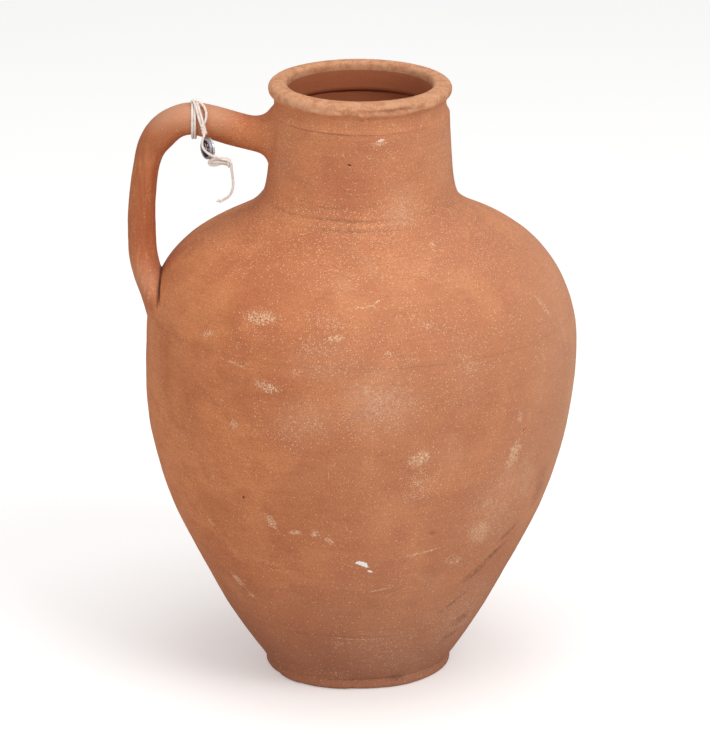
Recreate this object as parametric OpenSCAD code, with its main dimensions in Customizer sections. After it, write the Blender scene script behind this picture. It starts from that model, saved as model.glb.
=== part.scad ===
// Thrown terracotta jug with one strap handle and a string-hung metal tag.
// Millimetres. The origin is the centre of the resting face, +Z is up, and
// the handle stands towards -X.

/* [Body] */
// Radius of the foot slab
foot_r = 69; // [66:0.5:72]
// Height of the foot slab
foot_h = 8; // [6:0.5:10]
// Radius of the belly at its widest
belly_r = 160.5; // [156:0.5:165]
// Height of the widest ring of the belly
belly_z = 248; // [240:1:256]
// Thickness of the thrown walls
wall = 8; // [6:0.5:9]

/* [Neck and mouth] */
// Radius of the shoulder where it starts to rise into the neck
root_r = 102; // [98:0.5:106]
// Height of the shoulder where it starts to rise into the neck
root_z = 341.5; // [338:0.5:345]
// Radius of the neck at its lower seam
neck_r = 74; // [72:0.5:76]
// Height of the lower seam of the neck
neck_z = 363; // [360:0.5:366]
// Radius of the neck at the collar seam
collar_r = 66.5; // [65:0.5:68]
// Height of the collar seam
collar_z = 427; // [424:0.5:429]
// Radius of the clear mouth
mouth_r = 55.5; // [53:0.5:56]
// Overall height of the jug
jug_h = 450; // [448:0.5:454]

/* [Handle] */
// Half the width of the handle's grip, front to back
grip_w = 14; // [12:0.5:14]
// Half the thickness of the handle's grip
grip_h = 10; // [9:0.5:10.5]

/* [String and tag] */
// Diameter of the cotton string
string_d = 1.7; // [1.4:0.1:1.8]
// Radius of the metal tag
tag_r = 8.2; // [7:0.1:8.4]
// Thickness of the metal tag
tag_t = 4.2; // [3.6:0.1:4.6]
// Turn of the tag's face from the front towards the handle's outer side
tag_turn = 60; // [50:1:66]

/* [Hidden] */
clay = "peru";
cotton = "linen";
round_fn = 144;

// Profile curves as [radius, height], each a cubic through its first and last point.
// The heel ends at heel_t on the flare, and the belly ends at seam_t on the crown.
heel_t = 0.88;
seam_t = 0.18;
flare = [[foot_r, foot_h], [foot_r + 7, foot_h + 6], [95, 44], [104, 60]];
bowl = [[104, 60], [136.4, 117.6], [belly_r, belly_z - 84], [belly_r, belly_z]];
crown = [[belly_r, belly_z], [belly_r, belly_z + 67], [root_r + 16, root_z - 8.5], [root_r, root_z]];
root = [[root_r, root_z], [root_r - 12.8, root_z + 6.8], [neck_r + 5, neck_z - 8], [neck_r, neck_z]];
throat = [[neck_r, neck_z], [neck_r - 5.5, neck_z + 8.8],
          [collar_r + 1.5, collar_z - 28], [collar_r, collar_z]];

// The lip: up the inside, over the crest, round the outside and back to the collar seam
lip_inner = [[mouth_r, jug_h - 6], [mouth_r, jug_h - 1], [60, jug_h], [62.5, jug_h]];
lip_outer = [[62.5, jug_h], [67, jug_h], [69.5, jug_h - 4], [68.8, jug_h - 7]];
lip_under = [[68.8, jug_h - 7], [68.3, jug_h - 9.2], [65.5, jug_h - 10], [65, jug_h - 13]];
cavetto = [[65, jug_h - 13], [64.3, jug_h - 17], [64.5, collar_z + 3.5], [collar_r, collar_z]];

// Handle stations as [x, z, half thickness, half width], from the neck to the belly
handle_stations = [
    [-56, 404, 21, 24], [-68, 407, 17, 20], [-81, 411.4, 13.6, 16.5], [-96, 416.2, 13.1, grip_w + 0.8],
    [-110, 419.8, 12.4, grip_w + 0.2], [-122, 421.2, 11.6, grip_w], [-134, 419, 11.5, grip_w],
    [-145, 411, 11.4, grip_w], [-152.6, 399.6, grip_h + 0.5, grip_w], [-156.2, 386, grip_h - 0.2, grip_w],
    [-159, 366, grip_h, grip_w], [-160.2, 344, grip_h + 0.3, grip_w], [-159.4, 322, grip_h + 0.6, grip_w + 0.5],
    [-157, 305, grip_h + 0.4, grip_w + 2], [-153.6, 290, 9.2, grip_w + 5], [-151.6, 276, 7.2, grip_w + 6],
    [-149, 262, 4, grip_w + 4]];
handle_steps = 2;
handle_sides = 20;

// String routes as [x, y, z] points
string_sides = 8;
loop_route = [
    [0, -5.4, 433.1], [0, -9.2, 431.4], [0, -12.3, 428.6], [0, -14.4, 425.2], [0, -15.2, 421.2],
    [0, -14.8, 417], [0, -12.9, 413.2], [0, -9.9, 410], [0, -6.1, 407.9], [0, -2, 407],
    [0, 2.2, 407], [0, 6.3, 407.9], [0, 10.1, 410], [0, 13, 413.2], [0, 14.8, 417],
    [0, 15.2, 421.2], [0, 14.4, 425.2], [0, 12.3, 428.6], [0, 9.2, 431.4], [0, 5.4, 433.1],
    [0, 1.4, 433.9], [0, -1, 433.9]];
hang_left_route = [
    [-120.9, -5.8, 435.1], [-120, -8.8, 434], [-119, -11.7, 432], [-118.1, -14, 429.2],
    [-117.2, -15.6, 426.2], [-116.2, -16.7, 423.2]];
hang_middle_route = [
    [-118.7, -5.8, 434.6], [-118, -8.8, 433.6], [-117, -11.7, 431.6], [-116.1, -14, 429],
    [-115.1, -15.6, 426.2], [-114.3, -16.9, 423.6]];
hang_right_route = [
    [-118.6, -3.4, 434.6], [-116.6, -4.6, 434.3], [-114.7, -6.8, 433.6], [-113.1, -9.4, 432.2],
    [-112, -12, 430], [-111.6, -14.2, 427.4], [-111.8, -15.8, 425.2], [-112.5, -16.8, 423]];
stem_route = [
    [-113.9, -16.9, 418.4], [-113.6, -17.6, 417.4], [-113.2, -18.4, 416.4]];
tail_route = [
    [-113, -22.9, 414.4], [-113.7, -23, 412.6], [-114.2, -23.2, 410.5], [-114.4, -23.7, 408.4],
    [-114, -24.7, 406.4], [-113, -26.2, 404.8], [-111.4, -28.1, 403.6], [-109.5, -30.1, 402.7],
    [-107.3, -31.5, 401.8], [-104.9, -31.2, 400.6], [-102.8, -29.6, 399.2], [-100.6, -28.1, 398.1],
    [-98, -27.4, 397.4], [-95.4, -27.2, 396.6], [-93.5, -27.2, 394.8], [-93.1, -26.8, 392.4],
    [-93, -26.1, 389.4], [-92.6, -25.5, 386.4], [-92.2, -25.1, 383], [-91.9, -24.9, 379.6],
    [-92, -24.8, 376.2], [-92.8, -24.6, 373], [-94.1, -24.4, 370.2], [-96.2, -24.2, 367.9],
    [-98.6, -24.1, 366.4], [-100.2, -24, 365.4]];

// Places on the string
loop_x = -121.9;
loop_gap = 1.9;
hitch_at = [-120.9, -2.2, 435.9];
cross_at = [-114.3, -17.2, 420.8];
stem_end = [-112.8, -19.6, 415.2];
tail_end = [-101.4, -24, 365];
tag_at = [-110.3, -22.6, 404.6];

// A point on the cubic p at t, from 0 to 1
function cubic(p, t) =
    pow(1 - t, 3) * p[0] + 3 * t * pow(1 - t, 2) * p[1] + 3 * t * t * (1 - t) * p[2] + pow(t, 3) * p[3];

// The direction of travel along the cubic p at t
function cubic_way(p, t) =
    pow(1 - t, 2) * (p[1] - p[0]) + 2 * t * (1 - t) * (p[2] - p[1]) + t * t * (p[3] - p[2]);

function unit(v) = v / norm(v);
function reversed(list) = [for (i = [len(list) - 1 : -1 : 0]) list[i]];
function from_second(list) = [for (i = [1 : len(list) - 1]) list[i]];

// n + 1 points of the cubic p between t = a and t = b
function outer_line(p, n, a = 0, b = 1) = [for (i = [0 : n]) cubic(p, a + (b - a) * i / n)];

// The same stretch set in by the wall thickness
function inner_line(p, n, a = 0, b = 1) = [
    for (i = [0 : n])
        let (t = a + (b - a) * i / n, way = unit(cubic_way(p, t)))
            cubic(p, t) + wall * [-way[1], way[0]]];

// A smooth curve through four stations, between the middle two
function through(a, b, c, d, t) =
    0.5 * (2 * b + (c - a) * t + (2 * a - 5 * b + 4 * c - d) * t * t + (3 * b - a - 3 * c + d) * t * t * t);

// One ring of a flat-lying section: [x, z, half thickness, half width] and the way the line runs
function oval_ring(s, way) = [
    for (k = [0 : handle_sides - 1])
        let (turn = 360 * k / handle_sides)
            [s[0] - way[1] * s[2] * cos(turn), s[3] * sin(turn), s[1] + way[0] * s[2] * cos(turn)]];

// The outline of the whole jug with its hollow filled, used to cut what is luted on
function filled_profile() = concat(
    [[0, 0], [foot_r, 0]],
    outer_line(flare, 6, 0, heel_t), from_second(outer_line(flare, 1, heel_t, 1)),
    from_second(outer_line(bowl, 12)), from_second(outer_line(crown, 5, 0, seam_t)),
    from_second(outer_line(crown, 15, seam_t, 1)),
    from_second(outer_line(root, 6)), from_second(outer_line(throat, 10)), [[0, collar_z]]);

// Side walls and end caps of a tube made of rings with the same number of points
function tube_faces(rings, sides) = concat(
    [reversed([for (k = [0 : sides - 1]) k])],
    [for (i = [0 : rings - 2], k = [0 : sides - 1])
        let (a = i * sides + k, b = i * sides + (k + 1) % sides)
            each [[a, b, b + sides], [a, b + sides, a + sides]]],
    [[for (k = [0 : sides - 1]) (rings - 1) * sides + k]]);

// Direction of a route at point i
function route_way(r, i) = unit(r[min(i + 1, len(r) - 1)] - r[max(i - 1, 0)]);

// A string swept along the points of a route
module string_tube(r) {
    rings = [
        for (i = [0 : len(r) - 1])
            let (way = route_way(r, i),
                 side = unit(abs(way[0]) < 0.9 ? cross([1, 0, 0], way) : cross([0, 1, 0], way)),
                 up = cross(way, side))
                for (k = [0 : string_sides - 1])
                    let (turn = 360 * (k + 0.5) / string_sides)
                        r[i] + string_d / 2 * (side * cos(turn) + up * sin(turn))];
    polyhedron(rings, tube_faces(len(r), string_sides), convexity = 8);
}

module turned(points) {
    rotate_extrude($fn = round_fn) polygon(points);
}

// The slab that the jug stands on
module foot() {
    color(clay) turned([[0, 0], [foot_r - 3, 0], [foot_r - 1, 1], [foot_r, 3], [foot_r, foot_h], [0, foot_h]]);
}

// The turned heel, flared out from the slab to the turning line
module heel() {
    color(clay) turned(concat(outer_line(flare, 6, 0, heel_t), reversed(inner_line(flare, 6, 0, heel_t)),
                              [[foot_r - 12, foot_h]]));
}

// The thrown bowl, from the heel to the seam above the widest ring
module belly() {
    outer = concat(outer_line(flare, 1, heel_t, 1), from_second(outer_line(bowl, 12)),
                   from_second(outer_line(crown, 5, 0, seam_t)));
    inner = concat(inner_line(flare, 1, heel_t, 1), from_second(inner_line(bowl, 12)),
                   from_second(inner_line(crown, 5, 0, seam_t)));
    color(clay) turned(concat(outer, reversed(inner)));
}

// The shoulder, closed in from the seam to the foot of the neck
module shoulder() {
    outer = concat(outer_line(crown, 15, seam_t, 1), from_second(outer_line(root, 6)));
    inner = concat(inner_line(crown, 15, seam_t, 1), from_second(inner_line(root, 6)));
    color(clay) turned(concat(outer, reversed(inner)));
}

// The neck, a slightly flared tube
module neck() {
    color(clay) turned(concat(outer_line(throat, 10), reversed(inner_line(throat, 10))));
}

// The collar and rolled lip, with the round mouth through it
module rim() {
    seat = inner_line(throat, 10)[10];
    outside = concat(outer_line(lip_inner, 5), from_second(outer_line(lip_outer, 5)),
                     from_second(outer_line(lip_under, 4)), from_second(outer_line(cavetto, 5)));
    color(clay) turned(concat(outside, [seat, [mouth_r, seat[1] + 3]]));
}

// The pulled handle, cut to sit on the neck and the belly
module handle() {
    last = len(handle_stations) - 1;
    line = [
        for (i = [0 : last - 1], j = [0 : handle_steps - 1])
            through(handle_stations[max(i - 1, 0)], handle_stations[i], handle_stations[i + 1],
                    handle_stations[min(i + 2, last)], j / handle_steps)];
    rings = [
        for (i = [0 : len(line) - 1])
            let (run = line[min(i + 1, len(line) - 1)] - line[max(i - 1, 0)])
                for (p = oval_ring(line[i], unit([run[0], run[1]]))) p];
    color(clay) difference() {
        polyhedron(rings, tube_faces(len(line), handle_sides), convexity = 6);
        turned(filled_profile());
    }
}

// The doubled string round the handle, first turn
module loop_left() {
    color(cotton) translate([loop_x, 0, 0]) string_tube(loop_route);
}

// The doubled string round the handle, second turn
module loop_right() {
    color(cotton) translate([loop_x + loop_gap, 0, 0]) string_tube(loop_route);
}

// The knot on top of the handle
module hitch_knot() {
    color(cotton) translate(hitch_at) sphere(d = string_d * 1.2, $fn = 32);
}

// The strings that run down the handle's front from the knot
module hang_left() {
    color(cotton) string_tube(hang_left_route);
}

module hang_middle() {
    color(cotton) string_tube(hang_middle_route);
}

module hang_right() {
    color(cotton) string_tube(hang_right_route);
}

// The crossing that the stem swings from
module cross_knot() {
    color(cotton) translate(cross_at) sphere(d = string_d * 1.6, $fn = 32);
}

// The twisted stem between the crossing and the tag
module stem() {
    color(cotton) string_tube(stem_route);
}

// The turn of string that the tag tilts on
module stem_knot() {
    color(cotton) translate(stem_end) sphere(d = string_d * 1.3, $fn = 32);
}

// Moves a shape from the Z axis to the tag's place, facing along its turn
module on_tag() {
    translate(tag_at) rotate([90, 0, -tag_turn]) children();
}

// The stamped face, a shallow dish with a raised rim
module tag_face() {
    color("dimgray") on_tag() rotate_extrude($fn = 64)
        polygon([[0, 0], [tag_r - 0.6, 0], [tag_r - 0.3, 0.6], [tag_r - 0.3, tag_t / 2 - 0.6],
                 [tag_r - 0.9, tag_t / 2], [tag_r - 2, tag_t / 2], [tag_r - 2.6, tag_t / 2 - 1], [0, tag_t / 2 - 1]]);
}

// The polished back, a cup with two bevelled rings round its edge
module tag_back() {
    color("silver") on_tag() rotate_extrude($fn = 64)
        polygon([[0, 0], [tag_r - 0.6, 0], [tag_r, -0.5], [tag_r - 0.4, -1], [tag_r, -1.4],
                 [tag_r - 1.2, -tag_t / 2], [0, -tag_t / 2]]);
}

// The flattened knot beside the tag
module tie_knot() {
    color(cotton) hull() {
        translate([-106.6, -26.2, 395]) sphere(d = 4.4, $fn = 20);
        translate([-100, -25, 395.8]) sphere(d = 4, $fn = 20);
        translate([-94.6, -24.2, 394.6]) sphere(d = 4.2, $fn = 20);
    }
}

// The string over the tag's face and its loose tail
module tail_string() {
    color(cotton) string_tube(tail_route);
}

// The small knot at the end of the tail
module tail_tip() {
    color(cotton) translate(tail_end) sphere(d = string_d * 1.4, $fn = 32);
}

foot();
heel();
belly();
shoulder();
neck();
rim();
handle();
loop_left();
loop_right();
hitch_knot();
hang_left();
hang_middle();
hang_right();
cross_knot();
stem();
stem_knot();
tag_face();
tag_back();
tie_knot();
tail_string();
tail_tip();
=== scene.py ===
"""Looks of a thrown terracotta jug, with a metal tag hung from its handle on cotton string.

Every length in the meshes is in metres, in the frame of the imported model: the jug stands on
Z = 0, its throwing axis is Z, its handle points to -X and the front is -Y. Shader patterns
read the same place in millimetres.
"""

from __future__ import annotations

import logging
import math
from dataclasses import dataclass, field
from enum import Enum
from typing import Iterable, Sequence, Union

import bpy
import numpy as np
from mathutils import Matrix, Vector

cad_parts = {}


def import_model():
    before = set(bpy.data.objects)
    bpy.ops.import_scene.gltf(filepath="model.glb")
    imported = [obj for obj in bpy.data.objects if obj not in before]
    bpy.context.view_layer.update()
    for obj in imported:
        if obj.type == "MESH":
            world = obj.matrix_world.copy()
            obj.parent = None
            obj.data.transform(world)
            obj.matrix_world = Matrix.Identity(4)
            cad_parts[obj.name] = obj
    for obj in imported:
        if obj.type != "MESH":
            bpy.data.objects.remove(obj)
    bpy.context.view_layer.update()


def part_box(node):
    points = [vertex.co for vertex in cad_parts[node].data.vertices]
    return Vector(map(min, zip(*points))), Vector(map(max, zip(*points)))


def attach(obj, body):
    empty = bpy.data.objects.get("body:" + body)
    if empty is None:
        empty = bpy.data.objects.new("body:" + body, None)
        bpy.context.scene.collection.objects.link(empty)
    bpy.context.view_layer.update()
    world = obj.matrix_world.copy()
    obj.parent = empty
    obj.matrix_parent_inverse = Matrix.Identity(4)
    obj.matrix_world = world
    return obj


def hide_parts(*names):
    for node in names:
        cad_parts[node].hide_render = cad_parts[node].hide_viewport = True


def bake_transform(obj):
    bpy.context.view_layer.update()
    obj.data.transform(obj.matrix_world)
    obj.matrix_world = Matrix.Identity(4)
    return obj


LOG = logging.getLogger("jug")

MM = 0.001
FULL_TURN = 2 * math.pi

Socket = bpy.types.NodeSocket
Piece = bpy.types.Object
Tree = bpy.types.NodeTree
Finish = bpy.types.Material
Feed = Union[Socket, float, int, str, Sequence[float], Finish]


class Body(Enum):
    """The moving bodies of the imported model."""

    JUG = "jug"
    HITCH = "hitch"
    HANGER = "hanger"
    TAG = "tag"


class Slot(Enum):
    """The record's material slots."""

    CLAY = "terracotta"
    LIP = "terracotta_lip"
    HANDLE = "terracotta_handle"
    STRING = "cotton_string"
    STAMPED = "stamped_tin"
    POLISHED = "polished_tin"


class MarkKind(Enum):
    """What a placed mark does to the clay's finish."""

    SCUFF = "scuff"
    DUST = "dust"
    SMUDGE = "smudge"
    RUDDY_AND_SHADE = "ruddy"
    LIME = "lime"
    PIT = "pit"
    SHADE = "shade"


def tone(red: float, green: float, blue: float) -> tuple[float, float, float, float]:
    """Linear colour of a display colour given from 0 to 255."""

    def linear(value: float) -> float:
        value = value / 255
        return value / 12.92 if value <= 0.04045 else ((value + 0.055) / 1.055) ** 2.4

    return linear(red), linear(green), linear(blue), 1.0


def smooth_step(value: np.ndarray) -> np.ndarray:
    """Eases 0..1 at both ends, and clips what is outside."""
    value = np.clip(value, 0, 1)
    return value * value * (3 - 2 * value)


class Lattice:
    """Smooth, repeatable noise read from a block of seeded random numbers."""

    SIDE = 32

    def __init__(self, seed: int) -> None:
        """Fills the block.

        Args:
            seed: Fixes the random numbers.
        """
        side = self.SIDE
        self.values = np.random.default_rng(seed).uniform(-1, 1, (side, side, side))

    def at(self, points: np.ndarray, size: float) -> np.ndarray:
        """Noise from -1 to 1 at some points.

        Args:
            points: An (n, 3) array in metres.
            size: The width of one lump, in metres.

        Returns:
            One value for each point.
        """
        place = np.asarray(points, float) / size + 100.0
        cell = np.floor(place).astype(int)
        part = smooth_step(place - cell)
        low, high = cell % self.SIDE, (cell + 1) % self.SIDE
        total = np.zeros(len(place))
        for corner in range(8):
            picks, weight = [], np.ones(len(place))
            for axis in range(3):
                upper = corner >> axis & 1
                picks.append(high[:, axis] if upper else low[:, axis])
                weight = weight * (part[:, axis] if upper else 1 - part[:, axis])
            total += self.values[picks[0], picks[1], picks[2]] * weight
        return total

    def layered(self, points: np.ndarray, size: float, layers: int = 3) -> np.ndarray:
        """Noise with finer noise on it, each layer half as wide and half as strong."""
        total = sum(self.at(points, size / 2**i) / 2**i for i in range(layers))
        return total / (2 - 0.5 ** (layers - 1))


# ---------------------------------------------------------------------------
# Node trees
# ---------------------------------------------------------------------------


class Board:
    """Adds nodes to one tree and wires them."""

    def __init__(self, tree: Tree) -> None:
        """Works on the given tree."""
        self.tree = tree

    def feed(self, socket: Socket, value: Feed) -> None:
        """Links a socket to an output, or sets its own value."""
        if isinstance(value, Socket):
            self.tree.links.new(value, socket)
        else:
            socket.default_value = value

    def add(self, kind: str, inputs: dict | None = None, **settings: object) -> bpy.types.Node:
        """Adds one node.

        Args:
            kind: The node's type name.
            inputs: What each input, by name or number, is fed.
            **settings: The node's own properties.

        Returns:
            The new node.
        """
        node = self.tree.nodes.new(kind)
        for key, value in settings.items():
            setattr(node, key, value)
        for key, value in (inputs or {}).items():
            self.feed(node.inputs[key], value)
        return node

    def math(self, operation: str, *values: Feed, clamp: bool = False) -> Socket:
        """A Math node's result."""
        node = self.add("ShaderNodeMath", dict(enumerate(values)), operation=operation, use_clamp=clamp)
        return node.outputs[0]

    def times(self, first: Feed, second: Feed) -> Socket:
        """The product of two values."""
        return self.math("MULTIPLY", first, second)

    def stored(self, name: str) -> Socket:
        """A number stored on the mesh."""
        return self.add("ShaderNodeAttribute", attribute_name=name).outputs["Fac"]

    def millimetres(self) -> Socket:
        """The shaded place, in millimetres."""
        return self.vector("SCALE", self.add("ShaderNodeTexCoord").outputs["Object"], 1000.0)

    def vector(self, operation: str, *values: Feed, number: bool = False) -> Socket:
        """A Vector Math node's vector, or its number where number is true."""
        node = self.add("ShaderNodeVectorMath", operation=operation)
        for i, value in enumerate(values):
            scale = operation == "SCALE" and i == 1
            self.feed(node.inputs["Scale"] if scale else node.inputs[i], value)
        return node.outputs[1 if number else 0]

    def span(self, value: Feed, low: Feed, high: Feed, to_low: Feed = 0.0, to_high: Feed = 1.0) -> Socket:
        """Maps low..high onto to_low..to_high with eased ends."""
        inputs = {0: value, 1: low, 2: high, 3: to_low, 4: to_high}
        return self.add("ShaderNodeMapRange", inputs, interpolation_type="SMOOTHSTEP").outputs[0]

    def mix(self, share: Feed, first: Feed, second: Feed, way: str = "MIX") -> Socket:
        """Mixes two colours."""
        node = self.add("ShaderNodeMix", {0: share, 6: first, 7: second}, data_type="RGBA", blend_type=way)
        return node.outputs[2]

    def noise(
        self, place: Feed, scale: Feed, detail: float = 2.0, rough: float = 0.5, warp: float = 0.0,
    ) -> Socket:
        """A Noise Texture's value at a place."""
        inputs = {"Vector": place, "Scale": scale, "Detail": detail, "Roughness": rough, "Distortion": warp}
        return self.add("ShaderNodeTexNoise", inputs).outputs[0]

    def parts(self, vector: Feed) -> bpy.types.NodeOutputs:
        """X, Y and Z of a vector."""
        return self.add("ShaderNodeSeparateXYZ", {0: vector}).outputs

    def join(self, x: Feed, y: Feed, z: Feed) -> Socket:
        """A vector of three numbers."""
        return self.add("ShaderNodeCombineXYZ", {0: x, 1: y, 2: z}).outputs[0]

    def total(self, values: Iterable[Feed], operation: str = "ADD") -> Feed:
        """Folds many numbers into one, or gives 0 for none."""
        result: Feed = 0.0
        for i, value in enumerate(values):
            result = value if i == 0 else self.math(operation, result, value)
        return result

    def group(self, tree: Tree, **inputs: Feed) -> bpy.types.NodeOutputs:
        """Places a group with its own values, given by input name with _ for a space."""
        kind = "ShaderNodeGroup" if tree.type == "SHADER" else "GeometryNodeGroup"
        node = self.add(kind, node_tree=tree)
        for name, value in inputs.items():
            self.feed(node.inputs[name.replace("_", " ")], value)
        return node.outputs


class GroupTree:
    """A node group with named inputs and outputs, built once and looked up by name."""

    SOCKETS = {
        "value": "NodeSocketFloat",
        "vector": "NodeSocketVector",
        "colour": "NodeSocketColor",
        "count": "NodeSocketInt",
        "geometry": "NodeSocketGeometry",
        "material": "NodeSocketMaterial",
    }

    def __init__(self, name: str, kind: str, takes: dict, gives: dict) -> None:
        """Makes the empty group.

        Args:
            name: The group's name.
            kind: ShaderNodeTree or GeometryNodeTree.
            takes: Each input's name, with its socket kind and its first value.
            gives: Each output's name, with its socket kind.
        """
        self.tree = bpy.data.node_groups.new(name, kind)
        for label, (socket, first) in takes.items():
            item = self.tree.interface.new_socket(label, in_out="INPUT", socket_type=self.SOCKETS[socket])
            if first is not None:
                item.default_value = first
        for label, socket in gives.items():
            self.tree.interface.new_socket(label, in_out="OUTPUT", socket_type=self.SOCKETS[socket])
        self.board = Board(self.tree)
        self.taken = self.board.add("NodeGroupInput").outputs
        self.given = self.board.add("NodeGroupOutput").inputs

    def give(self, **values: Feed) -> Tree:
        """Wires the outputs and returns the finished tree."""
        for name, value in values.items():
            self.board.feed(self.given[name.replace("_", " ")], value)
        return self.tree


# ---------------------------------------------------------------------------
# Shader groups shared by the clay finishes
# ---------------------------------------------------------------------------


def placed_mark_group() -> Tree:
    """A soft-edged, ragged oval at one place on the wall."""
    takes = {
        "Place": ("vector", None), "Centre": ("vector", None), "Along": ("vector", None),
        "Across": ("vector", None), "Through": ("vector", None), "Ragged": ("value", 0.0),
        "Soft": ("value", 0.3),
    }
    group = GroupTree("placed_mark", "ShaderNodeTree", takes, {"Mask": "value"})
    board, taken = group.board, group.taken
    away = board.vector("SUBTRACT", taken["Place"], taken["Centre"])
    sides = [board.vector("DOT_PRODUCT", away, taken[k], number=True) for k in ("Along", "Across", "Through")]
    reach = board.vector("LENGTH", board.join(*sides), number=True)
    reach = board.math("ADD", reach, taken["Ragged"])
    edge = board.math("SUBTRACT", 1.0, taken["Soft"])
    return group.give(Mask=board.span(reach, edge, 1.0, 1.0, 0.0))


def grit_group() -> Tree:
    """Small scattered specks, a share of which show."""
    takes = {
        "Place": ("vector", None), "Spacing": ("value", 1.6), "Size": ("value", 0.3), "Amount": ("value", 0.3),
    }
    group = GroupTree("pale_grit", "ShaderNodeTree", takes, {"Mask": "value", "Pick": "value"})
    board, taken = group.board, group.taken
    scale = board.math("DIVIDE", 1.0, taken["Spacing"])
    cells = board.add("ShaderNodeTexVoronoi", {"Vector": taken["Place"], "Scale": scale}, feature="F1").outputs
    pick = board.parts(cells["Color"])
    shown = board.math("LESS_THAN", pick[0], taken["Amount"])
    radius = board.times(board.times(taken["Size"], scale), board.math("ADD", 0.4, pick[1]))
    round_off = board.span(cells["Distance"], board.times(radius, 0.5), radius, 1.0, 0.0)
    return group.give(Mask=board.times(round_off, shown), Pick=pick[2])


def scuff_group() -> Tree:
    """Short pale dashes that crowd together where Amount is high."""
    takes = {
        "Place": ("vector", None), "Stretch": ("vector", (1.0, 1.0, 1.0)), "Amount": ("value", 0.3),
    }
    group = GroupTree("scuff_dashes", "ShaderNodeTree", takes, {"Mask": "value"})
    board, taken = group.board, group.taken
    place = board.vector("MULTIPLY", taken["Place"], taken["Stretch"])
    dash = board.noise(place, 0.8, 4.0, 0.72, 0.7)
    level = board.span(taken["Amount"], 0.0, 1.0, 0.74, 0.49)
    soft = board.math("ADD", level, 0.045)
    mask = board.span(dash, level, soft)
    return group.give(Mask=mask)


def haze_group() -> Tree:
    """Cloudy patches of dust with soft edges."""
    takes = {"Place": ("vector", None), "Size": ("value", 60.0), "Amount": ("value", 0.5), "Seed": ("value", 0.0)}
    group = GroupTree("dust_haze", "ShaderNodeTree", takes, {"Mask": "value"})
    board, taken = group.board, group.taken
    scale = board.math("DIVIDE", 1.0, taken["Size"])
    moved = board.vector("ADD", taken["Place"], board.join(taken["Seed"], taken["Seed"], 0.0))
    cloud = board.noise(moved, scale, 6.0, 0.62, 0.3)
    low = board.math("SUBTRACT", 0.78, board.times(taken["Amount"], 0.5))
    return group.give(Mask=board.span(cloud, low, board.math("ADD", low, 0.2)))


def grain_group() -> Tree:
    """The relief of bare fired clay: fine tooth, wiped lines and small pin holes."""
    takes = {
        "Place": ("vector", None), "Tooth": ("value", 1.0), "Wipe": ("value", 1.0), "Wipe Way": ("vector", (0.03, 0.03, 0.7)),
    }
    group = GroupTree(
        "clay_grain", "ShaderNodeTree", takes, {"Height": "value", "Tooth": "value", "Wipe": "value", "Holes": "value"}
    )
    board, taken = group.board, group.taken
    tooth = board.noise(taken["Place"], 1.15, 5.0, 0.62)
    wipe = board.noise(board.vector("MULTIPLY", taken["Place"], taken["Wipe Way"]), 1.0, 4.0, 0.6)
    cells = board.add("ShaderNodeTexVoronoi", {"Vector": taken["Place"], "Scale": 0.26}, feature="F1").outputs
    pick = board.parts(cells["Color"])
    radius = board.times(pick[1], 0.13)
    holes = board.span(cells["Distance"], board.times(radius, 0.4), radius, 1.0, 0.0)
    holes = board.times(holes, board.math("LESS_THAN", pick[0], 0.16))
    height = board.times(tooth, taken["Tooth"])
    height = board.math("MULTIPLY_ADD", wipe, taken["Wipe"], height)
    height = board.math("SUBTRACT", height, holes)
    return group.give(Height=height, Tooth=tooth, Wipe=wipe, Holes=holes)


@dataclass
class ShaderGroups:
    """The shader groups, each built once."""

    mark: Tree = field(default_factory=placed_mark_group)
    grit: Tree = field(default_factory=grit_group)
    scuff: Tree = field(default_factory=scuff_group)
    haze: Tree = field(default_factory=haze_group)
    grain: Tree = field(default_factory=grain_group)


def new_material(name: str, slot: Slot) -> tuple[Finish, Board, bpy.types.Node]:
    """An empty material, its board and its Principled shader."""
    material = bpy.data.materials.new(name)
    material.use_nodes = True
    material["slot"] = slot.value
    board = Board(material.node_tree)
    shader = next(n for n in material.node_tree.nodes if n.type == "BSDF_PRINCIPLED")
    return material, board, shader


# ---------------------------------------------------------------------------
# The jug's shape
# ---------------------------------------------------------------------------


@dataclass(frozen=True)
class Cubic:
    """A cubic curve of the wall's profile, through (radius, height) points in metres."""

    start: tuple[float, float]
    lead: tuple[float, float]
    trail: tuple[float, float]
    end: tuple[float, float]

    def points(self, t: np.ndarray) -> np.ndarray:
        """The curve's points at t, as an (n, 2) array."""
        t = np.asarray(t, float)[:, None]
        a, b, c, d = (np.array(p) for p in (self.start, self.lead, self.trail, self.end))
        return (1 - t) ** 3 * a + 3 * t * (1 - t) ** 2 * b + 3 * t * t * (1 - t) * c + t**3 * d

    def outward(self, t: np.ndarray) -> np.ndarray:
        """The unit direction out of the wall at t."""
        t = np.asarray(t, float)[:, None]
        a, b, c, d = (np.array(p) for p in (self.start, self.lead, self.trail, self.end))
        way = (1 - t) ** 2 * (b - a) + 2 * t * (1 - t) * (c - b) + t * t * (d - c)
        way = way / np.linalg.norm(way, axis=1)[:, None]
        return np.stack([way[:, 1], -way[:, 0]], axis=1)

    def length(self) -> float:
        """The curve's length."""
        return float(np.linalg.norm(np.diff(self.points(np.linspace(0, 1, 65)), axis=0), axis=1).sum())


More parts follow.
